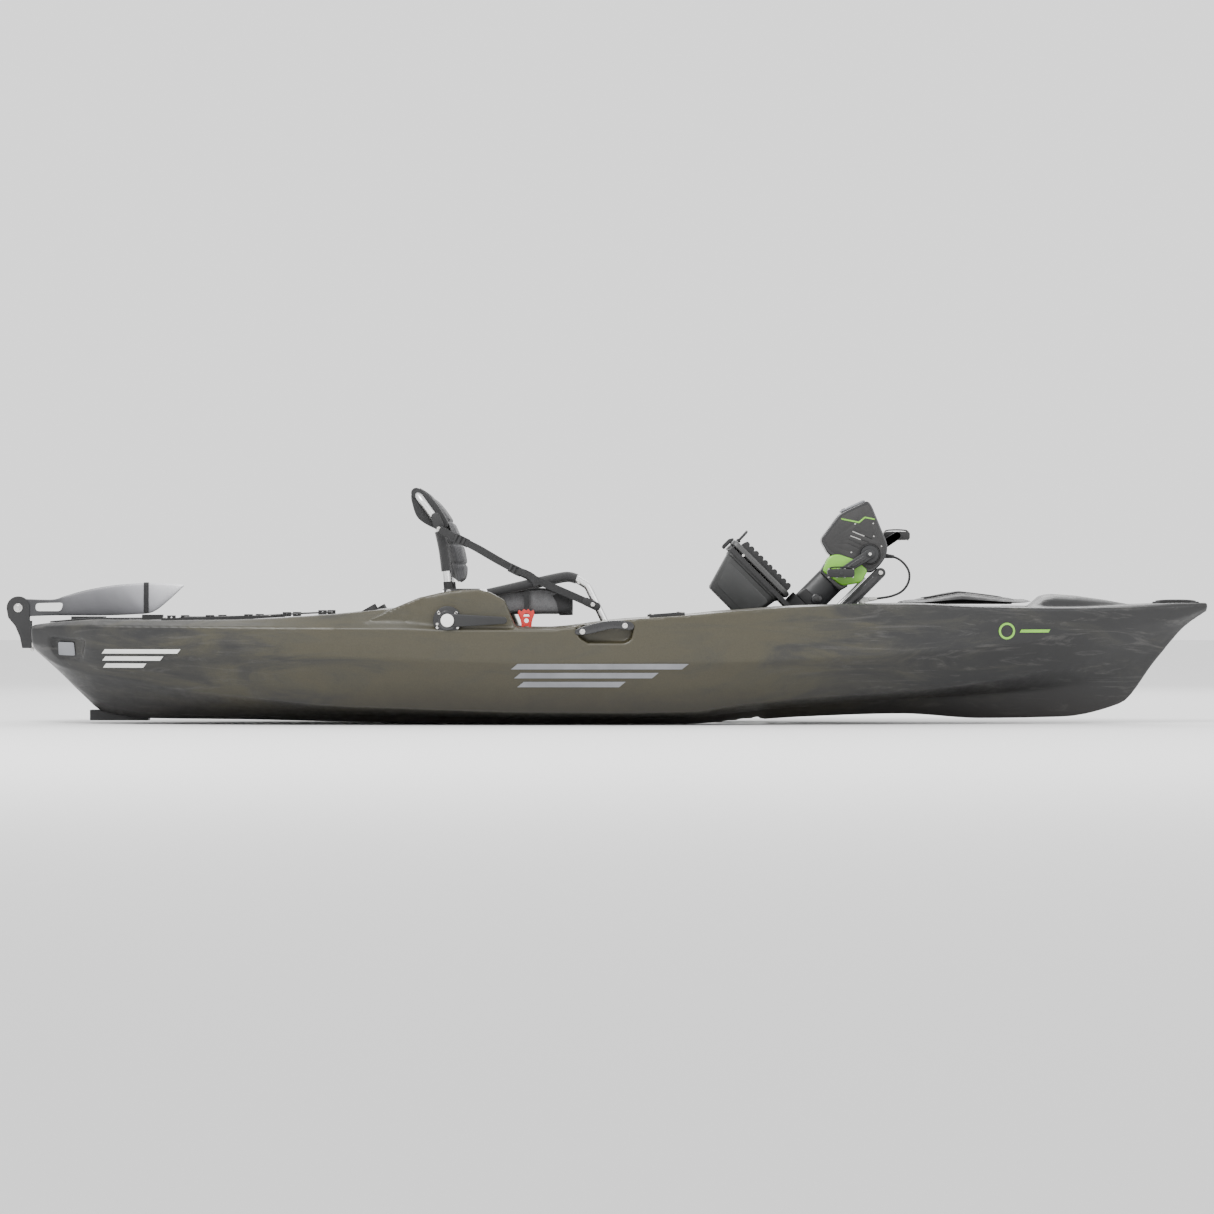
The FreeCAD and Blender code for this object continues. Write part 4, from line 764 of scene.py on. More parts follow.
def cushion_mesh(name, a, b, top, bottom, pull, place, steps=22):
    """A crowned, closed cushion whose sides pull in between its corners."""
    points = []
    faces = []
    for sign, depth in ((1, top), (-1, bottom)):
        base = len(points)
        for i in range(steps + 1):
            for j in range(steps + 1):
                u, v = -1 + 2 * i / steps, -1 + 2 * j / steps
                swell = ((1 - u ** 6) * (1 - v ** 6)) ** 0.4
                x = u * (a - pull * (1 - v * v))
                y = v * (b - pull * (1 - u * u))
                points.append(Vector(place(x, y, sign * depth * swell)) * MM)
        for i in range(steps):
            for j in range(steps):
                corner = base + i * (steps + 1) + j
                faces.append((corner, corner + 1, corner + steps + 2, corner + steps + 1))
    mesh = mesh_of(name, points, faces)
    weld = bmesh.new()
    weld.from_mesh(mesh)
    bmesh.ops.remove_doubles(weld, verts=weld.verts, dist=0.00005)
    bmesh.ops.recalc_face_normals(weld, faces=weld.faces)
    weld.to_mesh(mesh)
    weld.free()
    return mesh


def inflate(pad, limit, pressure=4.0):
    """Blow the pad up gently as cloth, hold each point within limit of its start, and keep the result."""
    start = [vertex.co.copy() for vertex in pad.data.vertices]
    cloth = pad.modifiers.new("cloth", "CLOTH")
    cloth.settings.use_pressure = True
    cloth.settings.uniform_pressure_force = pressure
    cloth.settings.effector_weights.gravity = 0
    cloth.point_cache.frame_start = 1
    cloth.point_cache.frame_end = 20
    for step in range(1, 21):
        bpy.context.scene.frame_set(step)
    apply_modifiers(pad)
    for vertex, place in zip(pad.data.vertices, start):
        moved = vertex.co - place
        if moved.length > limit:
            vertex.co = place + moved * (limit / moved.length)
    bpy.context.scene.frame_set(1)


def sewn_pad(name, mesh, look, body, nodes, limit, seams):
    """A padded piece: remeshed, inflated as cloth, subdivided, then pulled in along its sewn channels."""
    pad = new_object(name, mesh, look)
    remesh = pad.modifiers.new("remesh", "REMESH")
    remesh.mode = "VOXEL"
    remesh.voxel_size = 0.006
    apply_modifiers(pad)
    inflate(pad, limit * MM)
    finer = pad.modifiers.new("finer", "SUBSURF")
    finer.levels = 1
    apply_modifiers(pad)
    normals = [vertex.normal.copy() for vertex in pad.data.vertices]
    for vertex, normal in zip(pad.data.vertices, normals):
        depth = sum(deep * math.exp(-(((vertex.co[axis] / MM) - at) / wide) ** 2)
                    for axis, at, deep, wide in seams)
        vertex.co -= normal * min(depth, 7.0) * MM
    shade_by_angle(pad, 70)
    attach(pad, body)
    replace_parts(pad, *nodes)
    return pad


# ---------------------------------------------------------------- seat

SEAT_Y = 215.0
BACK_Y = 187.0
BACK_LINE = [(-616, 778), (-566, 712), (-533, 645), (-512, 560), (-508, 474)]
BACK_HALF = 12.0


def back_place(along, y, depth):
    """Place a point of the back cushion: along its curved centre line, across, and forward of it."""
    share = (1 - along / 160.0) / 2
    run = smooth_run(BACK_LINE, 10)
    at = min(max(share, 0.0), 1.0) * (len(run) - 1)
    index = min(int(at), len(run) - 2)
    point = run[index].lerp(run[index + 1], at - index)
    heading = (run[index + 1] - run[index]).normalized()
    forward = Vector((-heading.y, heading.x))
    thick = BACK_HALF + 15 * min(max(share, 0.0), 1.0)
    return point.x + forward.x * depth * thick, y, point.y + forward.y * depth * thick


def seat_pads():
    middle_z = 402
    seat = cushion_mesh("seat_cushion_soft", 148, 186, 20, 20, 7,
                        lambda x, y, h: (-281 + x, y, middle_z + h + 5 * (x / 148) ** 2))
    channels = [(1, at, 5, 5) for at in (-93, 0, 93)] + [(0, at, 4, 5) for at in (-352, -212)]
    sewn_pad("seat_cushion_soft", seat, SEAT_CLOTH, "seat_base", ["seat_cushion"], 9, channels)
    back = cushion_mesh("seat_back_soft", 156, 166, 1.0, 0.75, 6, back_place)
    channels = [(2, at, 6, 5) for at in (690, 612, 545)] + [(1, at, 3, 5) for at in (-90, 90)]
    sewn_pad("seat_back_soft", back, SEAT_CLOTH, "seat_back", ["seat_back_cushion"], 7, channels)


def sling_section(x):
    """Half of the sling's cross-section at x: down the side and under the cushion."""
    top = 430 + 32 * (x + 440) / 214 if x < -226 else 462 - 26 * (x + 226) / 106
    return [(200.5, top), (200.5, 420), (198.5, 396), (190, 380), (165, 375.0), (90, 374.0), (0, 374.0)]


def seat_sling():
    rings = []
    xs = [-440 + 16 * i for i in range(21)]
    for x in xs:
        half = smooth_run([Vector(p) for p in sling_section(x)], 4)
        row = [(y, z) for y, z in half] + [(-y, z) for y, z in reversed(half[:-1])]
        rings.append([(x * MM, y * MM, z * MM) for y, z in row])
    sling = new_object("seat_sling_mesh", mesh_of("seat_sling_mesh", *skin_rings(rings, False, False)),
                       MESH_GREY,
                       "seat_base")
    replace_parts(sling, "seat_sling")
    thick = sling.modifiers.new("thick", "SOLIDIFY")
    thick.thickness = 0.0022
    apply_modifiers(sling)
    shade_by_angle(sling, 60)
    for side, word in ((-1, "right"), (1, "left")):
        y = side * 201.5
        edge = [(-440, y, 430), (-330, y, 446), (-232, y, 461), (-190, y, 455), (-120, y, 436)]
        pipe("sling_binding_top_" + word, edge, 4, BLACK_CLOTH, "seat_base")
        for index, (x, top) in enumerate(((-438, 430), (-122, 436))):
            drop = [(x, y, top), (x, side * 199.5, 396), (x, side * 188, 378), (x, side * 160, 374.5)]
            pipe("sling_binding_%s_%d" % (word, index), drop, 4, BLACK_CLOTH, "seat_base")
        band = [(-165, side * 203.5, 447), (-150, side * 203, 420), (-143, side * 199, 385),
                (-140, side * 170, 371)]
        ribbon("sling_band_" + word, band, (1, 0, 0), 44, 2.5, BLACK_CLOTH, "seat_base")


def seat_side(side, word):
    y = side * SEAT_Y
    rail = [(-404, y, 443.5), (-391, y, 446), (-226, y, 484), (-150, y, 500.5), (-125, y, 502), (-104, y,
                                                                                                 494)]
    pipe("rail_sleeve_" + word, rail, 16.5, BLACK_CLOTH, "seat_base")
    pipe("rear_rail_sleeve_" + word, [(-552, y, 446), (-470, y, 446), (-430, y, 446)], 14.5, RUBBER,
         "seat_base")
    for name, x, z in (("upper", -95, 482), ("lower", -10, 352)):
        disc("seat_rivet_%s_%s" % (name, word), x, z, 6, y + side * 11, y + side * 15, STEEL, "seat_base")
    back = side * BACK_Y
    low = [(-535.5, back, 434), (-537, back, 450), (-540.5, back, 484)]
    pipe("back_foot_sleeve_" + word, low, 15, RUBBER, "seat_back")
    long_run = [(-544.3, back, 520), (-549, back, 562), (-556, back, 610), (-567, back, 655)]
    pipe("back_sleeve_" + word, long_run, 17.5, BLACK_CLOTH, "seat_back")
    clamp = bar_outline((-571, 676), (-581, 703), 17, 15)
    plate("back_clamp_" + word, clamp, back - side * 15, back + side * 15, BLACK, "seat_back", 3)
    disc("back_bolt_" + word, -569, 662, 8, back + side * 14, back + side * 23, STEEL, "seat_back")
    strap_y = side * 230.0
    line = [(-566, 662), (-508, 630), (-449, 602), (-364, 553), (-262, 500), (-130, 442), (-45, 404)]
    strap = ribbon("back_strap_" + word, [(x, strap_y, z) for x, z in line], (0.45, 0, 0.9), 25, 2.4, WEBBING,
                   None)
    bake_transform(strap)
    return strap


def seat_hardware(side, word):
    """Buckles, strap ends, webbing tails and the sewn handle loops."""
    y = side * 230.0
    for name, start, end, body in (("upper", (-515, 634), (-482, 618), "seat_back"),
                                   ("lower", (-330, 533), (-296, 516), "seat_base")):
        frame_outline = bar_outline(start, end, 15, 15, False)
        gap = bar_outline((start[0] + 7, start[1] - 3.5), (end[0] - 21, end[1] + 10), 11.5, 11.5, False)
        second = bar_outline((start[0] + 20, start[1] - 10), (end[0] - 7, end[1] + 3.5), 11.5, 11.5, False)
        plate("strap_buckle_%s_%s" % (name, word), frame_outline, y - side * 3.5, y + side * 4.5, BLACK,
              body, 1.2,
              (gap, second))
    tail = [(-296, y + side * 3.2, 519), (-270, y + side * 5, 509), (-246, y + side * 5.5, 490),
            (-236, y + side * 4, 470)]
    ribbon("strap_tail_" + word, tail, (0.5, 0, 0.86), 24, 1.8, WEBBING, "seat_base")
    end_outline = bar_outline((-70, 416), (-36, 400), 14, 14)
    plate("strap_end_" + word, end_outline, y - side * 1, y + side * 4, BLACK, "seat_base", 1.5)
    disc("strap_end_bolt_" + word, -48, 406, 7.5, y + side * 4, y + side * 8, STEEL, "seat_base")
    sleeve = smooth_outline([(-664, 782), (-641, 799), (-613, 785), (-573, 742), (-538, 679), (-566, 664),
                             (-593, 668), (-641, 699), (-660, 745)], 4)
    plate("head_sleeve_side_" + word, sleeve, side * 152, side * 173, BLACK_CLOTH, "seat_back", 5)


def seat_head_sleeve():
    ends = [(-647, -178, 785), (-647, -120, 785), (-647, 0, 785), (-647, 120, 785), (-647, 178, 785)]
    pipe("head_sleeve", ends, 18, BLACK_CLOTH, "seat_back")
    panel = [(-636, 0, 800), (-606, 0, 780), (-568, 0, 732), (-536, 0, 676), (-523, 0, 640)]
    ribbon("head_panel", panel, (0, 1, 0), 330, 5, BLACK_CLOTH, "seat_back")


def release_tab():
    """Red pull tab with a scalloped top, a round window and a square one."""
    y = -SEAT_Y
    outline = smooth_outline([(-298, 388), (-301, 374), (-292, 352), (-289, 328), (-286, 313), (-259, 313),
                              (-256, 328), (-253, 352), (-246, 374), (-249, 388), (-258, 383), (-266, 391),
                              (-273, 386), (-281, 391), (-289, 383)], 4)
    windows = [circle(-272.5, 352, 7.5, 20), [(-281, 321), (-264, 321), (-265, 333), (-280, 333)],
               [(-283, 366), (-262, 366), (-266, 376), (-279, 376)]]
    tab = plate("pull_tab", outline, y - 5, y + 5, RED, "release_tab", 1.5, windows)
    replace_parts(tab, "release_tab")
    loop = [(-272, y, 384), (-272, y + 0.5, 415), (-272, y, 459)]
    ribbon("pull_tab_webbing", loop, (1, 0, 0), 18, 2, WEBBING, "release_tab")


def seat():
    seat_pads()
    seat_sling()
    straps = both(seat_side)
    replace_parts(straps[0], "seat_straps")
    both(seat_hardware)
    seat_head_sleeve()
    release_tab()


seat()


# ---------------------------------------------------------------- pedal drive

HEAD_OUTLINE = [(523, 692), (545, 691), (640, 651), (678, 636), (704, 606), (712, 564), (709, 522), (673,
                                                                                                     510),
                (621, 500), (563, 466), (505, 483), (488, 594)]
FACE_OUTLINE = [(532, 682), (545, 682), (637, 643), (671, 630), (695, 601), (702, 563), (700, 530), (670,
                                                                                                     519),
                (619, 509), (563, 477), (515, 491), (499, 594)]
HUB = (659.0, 567.0)
CRANK_REACH = 122.0
CRANK_TURN = math.radians(-102.5)
GROOVES = (((840, 656), (905, 630)), ((833, 641), (893, 619)), ((829, 628), (882, 604)), ((827, 614), (874,
                                                                                                       592)))
ZIGZAG = [(800, 702), (860, 690), (881, 707), (915, 700), (914, 695.5), (882, 701.5), (862, 684.5), (801,
                                                                                                     696.5)]
FACE_SCREWS = ((848, 682), (910, 684), (912, 640), (938, 606), (835, 585))


def drive_head(side, word):
    hub = parked(*HUB)
    rim = round_corners([parked(*p) for p in HEAD_OUTLINE], 16)
    face = round_corners([parked(*p) for p in FACE_OUTLINE], 14)
    shell = plate("drive_head_" + word, rim, side * 0.2, side * 54, GLOSS_BLACK, "drive", 5)
    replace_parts(shell, "drive_cover_" + word)
    cuts = [bar_outline(a, b, 1.6) for a, b in GROOVES] + [circle(*hub, 37)] + [circle(x, z, 3.4, 16)
                                                                                for x, z in FACE_SCREWS]
    plate("drive_face_" + word, face, side * 53.5, side * 59.5, CHARCOAL, "drive", 1.3, cuts)
    plate("drive_hub_ring_" + word, circle(*hub, 36), side * 53.5, side * 58, BLACK, "drive", 1,
                 [circle(*hub, 31)])
    plate("drive_stripe_" + word, ZIGZAG, side * 59.2, side * 60.6, GREEN, "drive", 0.4)
    for index, (x, z) in enumerate(FACE_SCREWS):
        disc("face_screw_%s_%d" % (word, index), x, z, 2.9, side * 54, side * 57.5, STEEL, "drive", 0.5)


def drive_display():
    """Rounded screen housing on the head's aft face, with its glass and keys."""
    low, high = parked(489, 598), parked(524, 690)
    along = Vector((high[0] - low[0], high[1] - low[1])).normalized()
    out = Vector((-along.y, along.x))
    start, end = Vector(low) + along * 2, Vector(high) - along * 6
    corners = [start, start + out * 7, end + out * 7, end]
    housing = plate("display_housing", [tuple(p) for p in corners], -44, 44, GREY_HOUSING, "drive", 3)
    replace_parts(housing, "display_panel")
    glass = [start + along * 26 + out * 6, start + along * 26 + out * 8, end - along * 6 + out * 8,
             end - along * 6 + out * 6]
    plate("display_glass", [tuple(p) for p in glass], -36, 36, GLOSS_BLACK, "drive", 0.8)
    for index, y in enumerate((-24, 0, 24)):
        key = [start + along * 8 + out * 6, start + along * 8 + out * 9, start + along * 18 + out * 9,
               start + along * 18 + out * 6]
        plate("display_key_%d" % index, [tuple(p) for p in key], y - 9, y + 9, RUBBER, "drive", 1.2)


def crank_arm(side, word):
    """Tapered, ribbed crank arm with its hub boss and cap."""
    turn = CRANK_TURN + (0 if side < 0 else math.pi)
    tip = parked(HUB[0] + CRANK_REACH * math.cos(turn), HUB[1] + CRANK_REACH * math.sin(turn))
    hub = parked(*HUB)
    run = Vector((tip[0] - hub[0], tip[1] - hub[1]))
    inner = [tuple(Vector(hub) + run * share) for share in (0.2, 0.82)]
    plate("crank_arm_" + word, bar_outline(hub, tip, 17, 14), side * 72, side * 84.5, ANODISED, "crank", 2)
    plate("crank_rib_" + word, bar_outline(*inner, 7, 6), side * 84, side * 87, GLOSS_BLACK, "crank", 1.2)
    disc("crank_boss_" + word, *hub, 27, side * 62.5, side * 74, ANODISED, "crank", 2, "anodised_black")
    disc("crank_cap_" + word, *hub, 12, side * 84, side * 88.5, ANODISED, "crank", 1.5, "anodised_black")
    disc("crank_bolt_" + word, *hub, 5.5, side * 88, side * 90.5, STEEL, "crank", 1, "steel")
    return tip


def pedal(side, word):
    """Platform pedal: a hollow frame with two bars, a strap and rows of grip studs."""
    turn = CRANK_TURN + (0 if side < 0 else math.pi)
    x, z = parked(HUB[0] + CRANK_REACH * math.cos(turn), HUB[1] + CRANK_REACH * math.sin(turn))
    body = "pedal_" + word
    y0, y1 = side * 93, side * 185
    outline = round_corners([(x - 45, z - 10), (x - 38, z - 14), (x + 38, z - 14), (x + 45, z - 10),
                             (x + 45, z + 10), (x + 38, z + 14), (x - 38, z + 14), (x - 45, z + 10)], 5)
    block = new_object("pedal_frame_" + word, side_shape(outline, *sorted((y0, y1))), BLACK)
    for centre in (-26, 26):
        hollow = pocket(x + centre - 11, x + centre + 11, min(y0, y1) + 12, max(y0, y1) - 12, z - 40,
                        z + 40, 5)
        combine(block, hollow, "DIFFERENCE")
    bevelled(block, 1.6)
    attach(block, body)
    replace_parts(block, body)
    for row in range(5):
        for edge in (-41, -13, 13, 41):
            y = y0 + (y1 - y0) * (0.1 + 0.2 * row)
            pin = [(x + edge, y, z - 15.5), (x + edge, y, z + 15.5)]
            pipe("pedal_stud_%s_%d_%d" % (word, row, edge + 50), pin, 1.7,
                 STEEL, body, order=2, sides=2)
    strap = [(x - 40, (y0 + y1) / 2, z + 13), (x - 32, (y0 + y1) / 2, z + 19), (x, (y0 + y1) / 2, z + 21),
             (x + 32, (y0 + y1) / 2, z + 19), (x + 40, (y0 + y1) / 2, z + 13)]
    ribbon("pedal_strap_" + word, strap, (0, 1, 0), 34, 4.5, RUBBER, body)


def drive_collar():
    """Green collar under the head, its black lower band and blank name bars."""
    outline = round_corners([parked(*p) for p in [(566, 464), (584, 412), (669, 423), (708, 478), (694, 524),
                                                  (640, 520), (580, 490)]], 13)
    for side, word in ((-1, "right"), (1, "left")):
        cheek = plate("collar_cheek_" + word, outline, side * 30, side * 63.5, GREEN, "drive", 5)
        if side < 0:
            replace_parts(cheek, "drive_collar")
        for index, (start, end) in enumerate((((598, 440), (604, 420)), ((612, 442), (618, 422)))):
            plate("collar_bar_%s_%d" % (word, index), bar_outline(parked(*start), parked(*end), 2.6),
                  side * 63,
                  side * 64.6, BLACK, "drive", 0.5)
    band = [parked(*p) for p in [(572, 440), (582, 404), (676, 404), (686, 440)]]
    plate("collar_band", round_corners(band, 8), -40, 40, GLOSS_BLACK, "drive", 4)


def clamp_knob():
    x, z = parked(640, 330)
    for side, word in ((-1, "right"), (1, "left")):
        disc("leg_clamp_" + word, x, z, 19, side * 30, side * 48, GLOSS_BLACK, "drive", 4, "black_plastic")
        disc("leg_clamp_cap_" + word, x, z, 8, side * 48, side * 52, CHARCOAL, "drive", 2, "black_plastic")
    jaw = round_corners([parked(*p) for p in [(580, 292), (586, 332), (676, 332), (684, 292)]], 8)
    plate("leg_clamp_jaw", jaw, -44, 44, BLACK, "drive", 4)


def lift_handle_trim():
    """Rubber grip, end bolts and the thin locking rod of the lift handle."""
    x, z = parked(731, 549)
    grip = [(x, -38, z), (x, -20, z), (x, 20, z), (x, 38, z)]
    pipe("lift_grip", grip, 12.5, RUBBER, "lift_handle")
    for side, word in ((-1, "right"), (1, "left")):
        disc("lift_bolt_" + word, x, z, 8, side * 52, side * 56, STEEL, "lift_handle", 1.5, "steel")
        low, high = parked(731, 300), parked(731, 520)
        plate("lift_web_" + word, bar_outline(low, high, 9), side * 51.5, side * 53.5, GLOSS_BLACK,
              "lift_handle",
              0.8)
        rod = [parked(706, 305), parked(706, 500)]
        pipe("lift_rod_" + word, [(rod[0][0], side * 46, rod[0][1]), (rod[1][0], side * 46, rod[1][1])],
             3.2, TUBE,
             "lift_handle", order=2)


def power_cable():
    """The lead from the drive's head to the deck socket, with strain relief at both ends."""
    route = [(957, 573), (985, 571), (1015, 552), (1037, 520), (1035, 482), (1012, 450), (974, 434), (934,
                                                                                                      428),
             (895, 424)]
    curve = bpy.data.curves.new("power_lead", "CURVE")
    curve.dimensions = "3D"
    curve.bevel_depth = 0.004
    curve.bevel_resolution = 5
    curve.use_fill_caps = True
    spline = curve.splines.new("NURBS")
    spline.points.add(len(route) - 1)
    for point, (x, z) in zip(spline.points, route):
        point.co = (x * MM, -0.02, z * MM, 1)
    spline.order_u = 3
    spline.use_endpoint_u = True
    spline.resolution_u = 16
    curve.materials.append(RUBBER)
    lead = bpy.data.objects.new("power_lead", curve)
    collection.objects.link(lead)
    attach(lead, "drive")
    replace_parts(lead, "power_cable")
    for name, start, end, look, body in (("head", (956, 573.2), (984, 570.2), RUBBER, "drive"),
                                         ("deck", (896, 424.2), (924, 427), WHITE, "hull")):
        points = [(start[0] + (end[0] - start[0]) * t / 5, start[1] + (end[1] - start[1]) * t / 5)
                  for t in range(6)]
        rings = []
        for index, (x, z) in enumerate(points):
            wide = 7.6 - 2.4 * index / 5 + (0.5 if index % 2 else 0)
            rings.append([(x * MM, (-20 + wide * math.cos(a * math.pi / 8)) * MM,
                           (z + wide * math.sin(a * math.pi / 8)) * MM) for a in range(16)])
        relief = new_object("strain_relief_" + name, mesh_of("strain_relief", *skin_rings(rings)), look, body)
        shade_by_angle(relief, 50)


def drive():
    both(drive_head)
    drive_display()
    both(crank_arm)
    both(pedal)
    drive_collar()
    clamp_knob()
    lift_handle_trim()
    power_cable()


drive()

# ---------------------------------------------------------------- console

def console_ring(x0, x1, half, z, radius):
    """A rounded rectangle at one height of the drive's working pose, parked with the drive."""
    ring = []
    for x, y in round_corners([(x0, -half), (x1, -half), (x1, half), (x0, half)], radius):
        px, pz = parked(x, z)
        ring.append((px * MM, y * MM, pz * MM))
    return ring


def console_shell(name, levels, look, body, node):
    rings = [console_ring(*level) for level in levels]
    thing = new_object(name, mesh_of(name, *skin_rings(rings)), look, body)
    shade_by_angle(thing, 30)
    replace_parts(thing, node)
    return thing


def raised_panel(name, corners, lift, look, body, outward, radius=0.12):
    """A raised panel with rounded corners between four (x, y, z) corners."""
    a, b, c, d = (Vector(p) for p in corners)
    out = (b - a).cross(d - a).normalized()
    if out.dot(Vector(outward)) < 0:
        out = -out
    rings = []
    for inset, height in ((0, -1.0), (0, lift * 0.6), (0.015, lift)):
        ring = []
        square = [(inset, inset), (1 - inset, inset), (1 - inset, 1 - inset), (inset, 1 - inset)]
        for u, v in round_corners(square, radius):
            place = a * (1 - u) * (1 - v) + b * u * (1 - v) + c * u * v + d * (1 - u) * v
            ring.append(tuple((place + out * height) * MM))
        rings.append(ring)
    thing = new_object(name, mesh_of(name, *skin_rings(rings)), look, body)
    return shade_by_angle(thing, 30)


def console():
    tub = [(354, 518, 95, 100, 22), (349, 523, 98, 105, 24), (315, 543, 112, 224, 26), (311, 547, 115.5,
                                                                                        228, 28),
           (311, 547, 115.5, 236, 28)]
    console_shell("console_tub_moulding", tub, CONSOLE, "drive", "console_tub")
    for side, word in ((-1, "right"), (1, "left")):
        corners = []
        for x, z in ((364, 122), (512, 122), (530, 208), (336, 208)):
            px, pz = parked(x, z)
            corners.append((px, side * (98 + 14 * (z - 105) / 119), pz))
        raised_panel("console_side_" + word, corners, 2.0, CONSOLE, "drive", (0, side, 0))
        disc("console_screw_" + word, 464, 573, 5, side * 127, side * 129.5, STEEL, "drive", 0.8, "steel")
    lid = [(300, 558, 124, 257.5, 30), (296, 562, 128, 261, 32), (296, 562, 128, 272, 32), (299, 559,
                                                                                            125.5, 276, 32),
           (304, 554, 120, 278, 30)]
    console_shell("console_lid_moulding", lid, CONSOLE_RIM, "console_lid", "console_lid")
    scallops = [parked(328, 277), parked(328, 290)]
    for step in range(1, 60):
        x = 328 + 220 * step / 60
        scallops.append(parked(x, 294 + 9 * abs(math.sin(math.pi * (x - 328) / 22)) ** 0.6))
    scallops += [parked(548, 290), parked(548, 277)]
    pad = plate("console_pad_ribs", scallops, -98, 98, RUBBER, "console_lid", 1.0)
    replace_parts(pad, "lid_pad")
    latch = round_corners([parked(*p) for p in [(285, 228), (295.5, 228), (295.5, 277), (290, 277), (282,
                                                                                                     264),
                                                (282, 236)]], 3)
    clip = plate("console_clip", latch, -28, 28, BLACK, "console_latch", 1.5)
    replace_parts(clip, "console_latch")
    loop = [(310, -46, 270), (310, -46, 300), (309, -44, 322), (308, -24, 326), (307, 0, 326), (308, 24, 326),
            (309, 44, 322), (310, 46, 300), (310, 46, 270)]
    rope = pipe("console_rope", [(parked(x, z)[0], y, parked(x, z)[1]) for x, y, z in loop], 4, BLACK_CLOTH,
                "console_lid")
    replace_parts(rope, "console_bail")
    for side, word in ((-1, "right"), (1, "left")):
        start, end = parked(310, 278), parked(310, 287)
        pipe("rope_ferrule_" + word, [(start[0], side * 46, start[1]), (end[0], side * 46, end[1])], 7,
             RUBBER,
             "console_lid", order=2)


console()


# ---------------------------------------------------------------- rudder

BLADE_TOP = [(-2048, 402), (-2038, 420), (-2018, 428), (-1980, 425), (-1900, 424), (-1859, 436), (-1787, 456),
             (-1688, 473), (-1585, 480), (-1500, 479), (-1451, 474)]
BLADE_LOW = [(-2048, 388), (-2038, 370), (-2018, 362), (-1980, 366), (-1900, 369), (-1859, 369), (-1722, 369),
             (-1620, 373), (-1557, 381), (-1500, 424), (-1451, 470)]


def line_at(line, x):
    for before, after in zip(line, line[1:]):
        if x <= after[0]:
            share = (x - before[0]) / (after[0] - before[0])
            return before[1] + (after[1] - before[1]) * share
    return line[-1][1]


def rudder():
    top_line, low_line = smooth_run(BLADE_TOP, 6), smooth_run(BLADE_LOW, 6)
    rings = []
    for step in range(91):
        x = -2048 + 597 * step / 90
        top, low = line_at(top_line, x), line_at(low_line, x)
        power = 0.22 + 0.68 * min(max((x + 1885) / 70, 0), 1)
        ring = []
        for index in range(28):
            angle = 2 * math.pi * index / 28
            up, out = math.sin(angle), math.cos(angle)
            y = 6 * math.copysign(abs(out) ** power, out)
            z = (top + low) / 2 + (top - low) / 2 * math.copysign(abs(up) ** power, up)
            ring.append((x * MM, y * MM, z * MM))
        rings.append(ring)
    blade = new_object("rudder_blade_foil", mesh_of("rudder_blade_foil", *skin_rings(rings)), BLADE)
    slot_outline = round_corners([(-1960, 384), (-1872, 384), (-1864, 413), (-1960, 411)], 12)
    combine(blade, side_shape(slot_outline, -20, 20), "DIFFERENCE")
    shade_by_angle(blade, 40)
    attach(blade, "rudder_blade")
    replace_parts(blade, "rudder_blade")
    keeper = [(-1580, -5, 377), (-1580, -8.2, 400), (-1580, -8.2, 440), (-1580, -5.5, 476), (-1580, 0, 482),
              (-1580, 5.5, 476), (-1580, 8.2, 440), (-1580, 8.2, 400), (-1580, 5, 377)]
    ribbon("blade_keeper", keeper, (1, 0, 0), 17, 1.6, WEBBING, "rudder_blade")
    for side, word in ((-1, "right"), (1, "left")):
        disc("rudder_washer_" + word, -2018.5, 395, 15, side * 11.5, side * 13.5, STEEL, "rudder_head",
             0.6, "steel")
        disc("rudder_nut_" + word, -2018.5, 395, 9, side * 13, side * 18.5, STEEL, "rudder_head", 1.5,
             "steel")


rudder()


# ---------------------------------------------------------------- hatch, handles, steering, decals

HATCH_TOP = [(1005, 424), (1080, 427), (1188, 445), (1225, 445), (1382, 427), (1440, 431)]


def hatch_lid():
    top_line = smooth_run(HATCH_TOP, 6)

    def lid_place(x, y, h):
        top = line_at(top_line, 1222.5 + x) - 9 * (y / 164) ** 2
        return 1222.5 + x, y, 411 + (top - 411) * (h + 1) / 2

    def rise_place(x, y, h):
        place = lid_place(x, y, 1)
        return place[0], place[1], place[2] + h

    lid = new_object("hatch_lid_moulding", cushion_mesh("hatch_lid", 217, 164, 1, 1, 0, lid_place, 30), BLACK,
                     "front_hatch")
    shade_by_angle(lid, 50)
    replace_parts(lid, "front_hatch_lid")
    centre = cushion_mesh("hatch_panel", 165, 112, 3.0, 2.0, 0, rise_place, 24)
    shade_by_angle(new_object("hatch_panel", centre, CHARCOAL, "front_hatch"), 50)
    for index, y in enumerate((-72, -36, 0, 36, 72)):
        rib = cushion_mesh("hatch_rib", 140, 7, 6.0, 1.0, 0, lambda a, b, h, at=y: rise_place(a, b + at,
                                                                                              h), 16)
        shade_by_angle(new_object("hatch_rib_%d" % index, rib, BLACK, "front_hatch"), 50)


def side_handle(side, word):
    outline = smooth_outline([(-100, 306), (-104, 322), (-60, 339), (7, 352), (80, 348), (84, 322), (20, 326),
                              (-60, 308)], 4)
    handle = plate("carry_handle_" + word, outline, side * 446, side * 460, GLOSS_BLACK, "hull", 4.5)
    for index, (x, z) in enumerate(((-82, 316), (60, 336))):
        disc("handle_stub_%s_%d" % (word, index), x, z, 9, side * 423, side * 448, BLACK, "hull", 0)
        disc("handle_bolt_%s_%d" % (word, index), x, z, 7.5, side * 459, side * 463, STEEL, "hull", 1.5,
             "steel")
    return handle


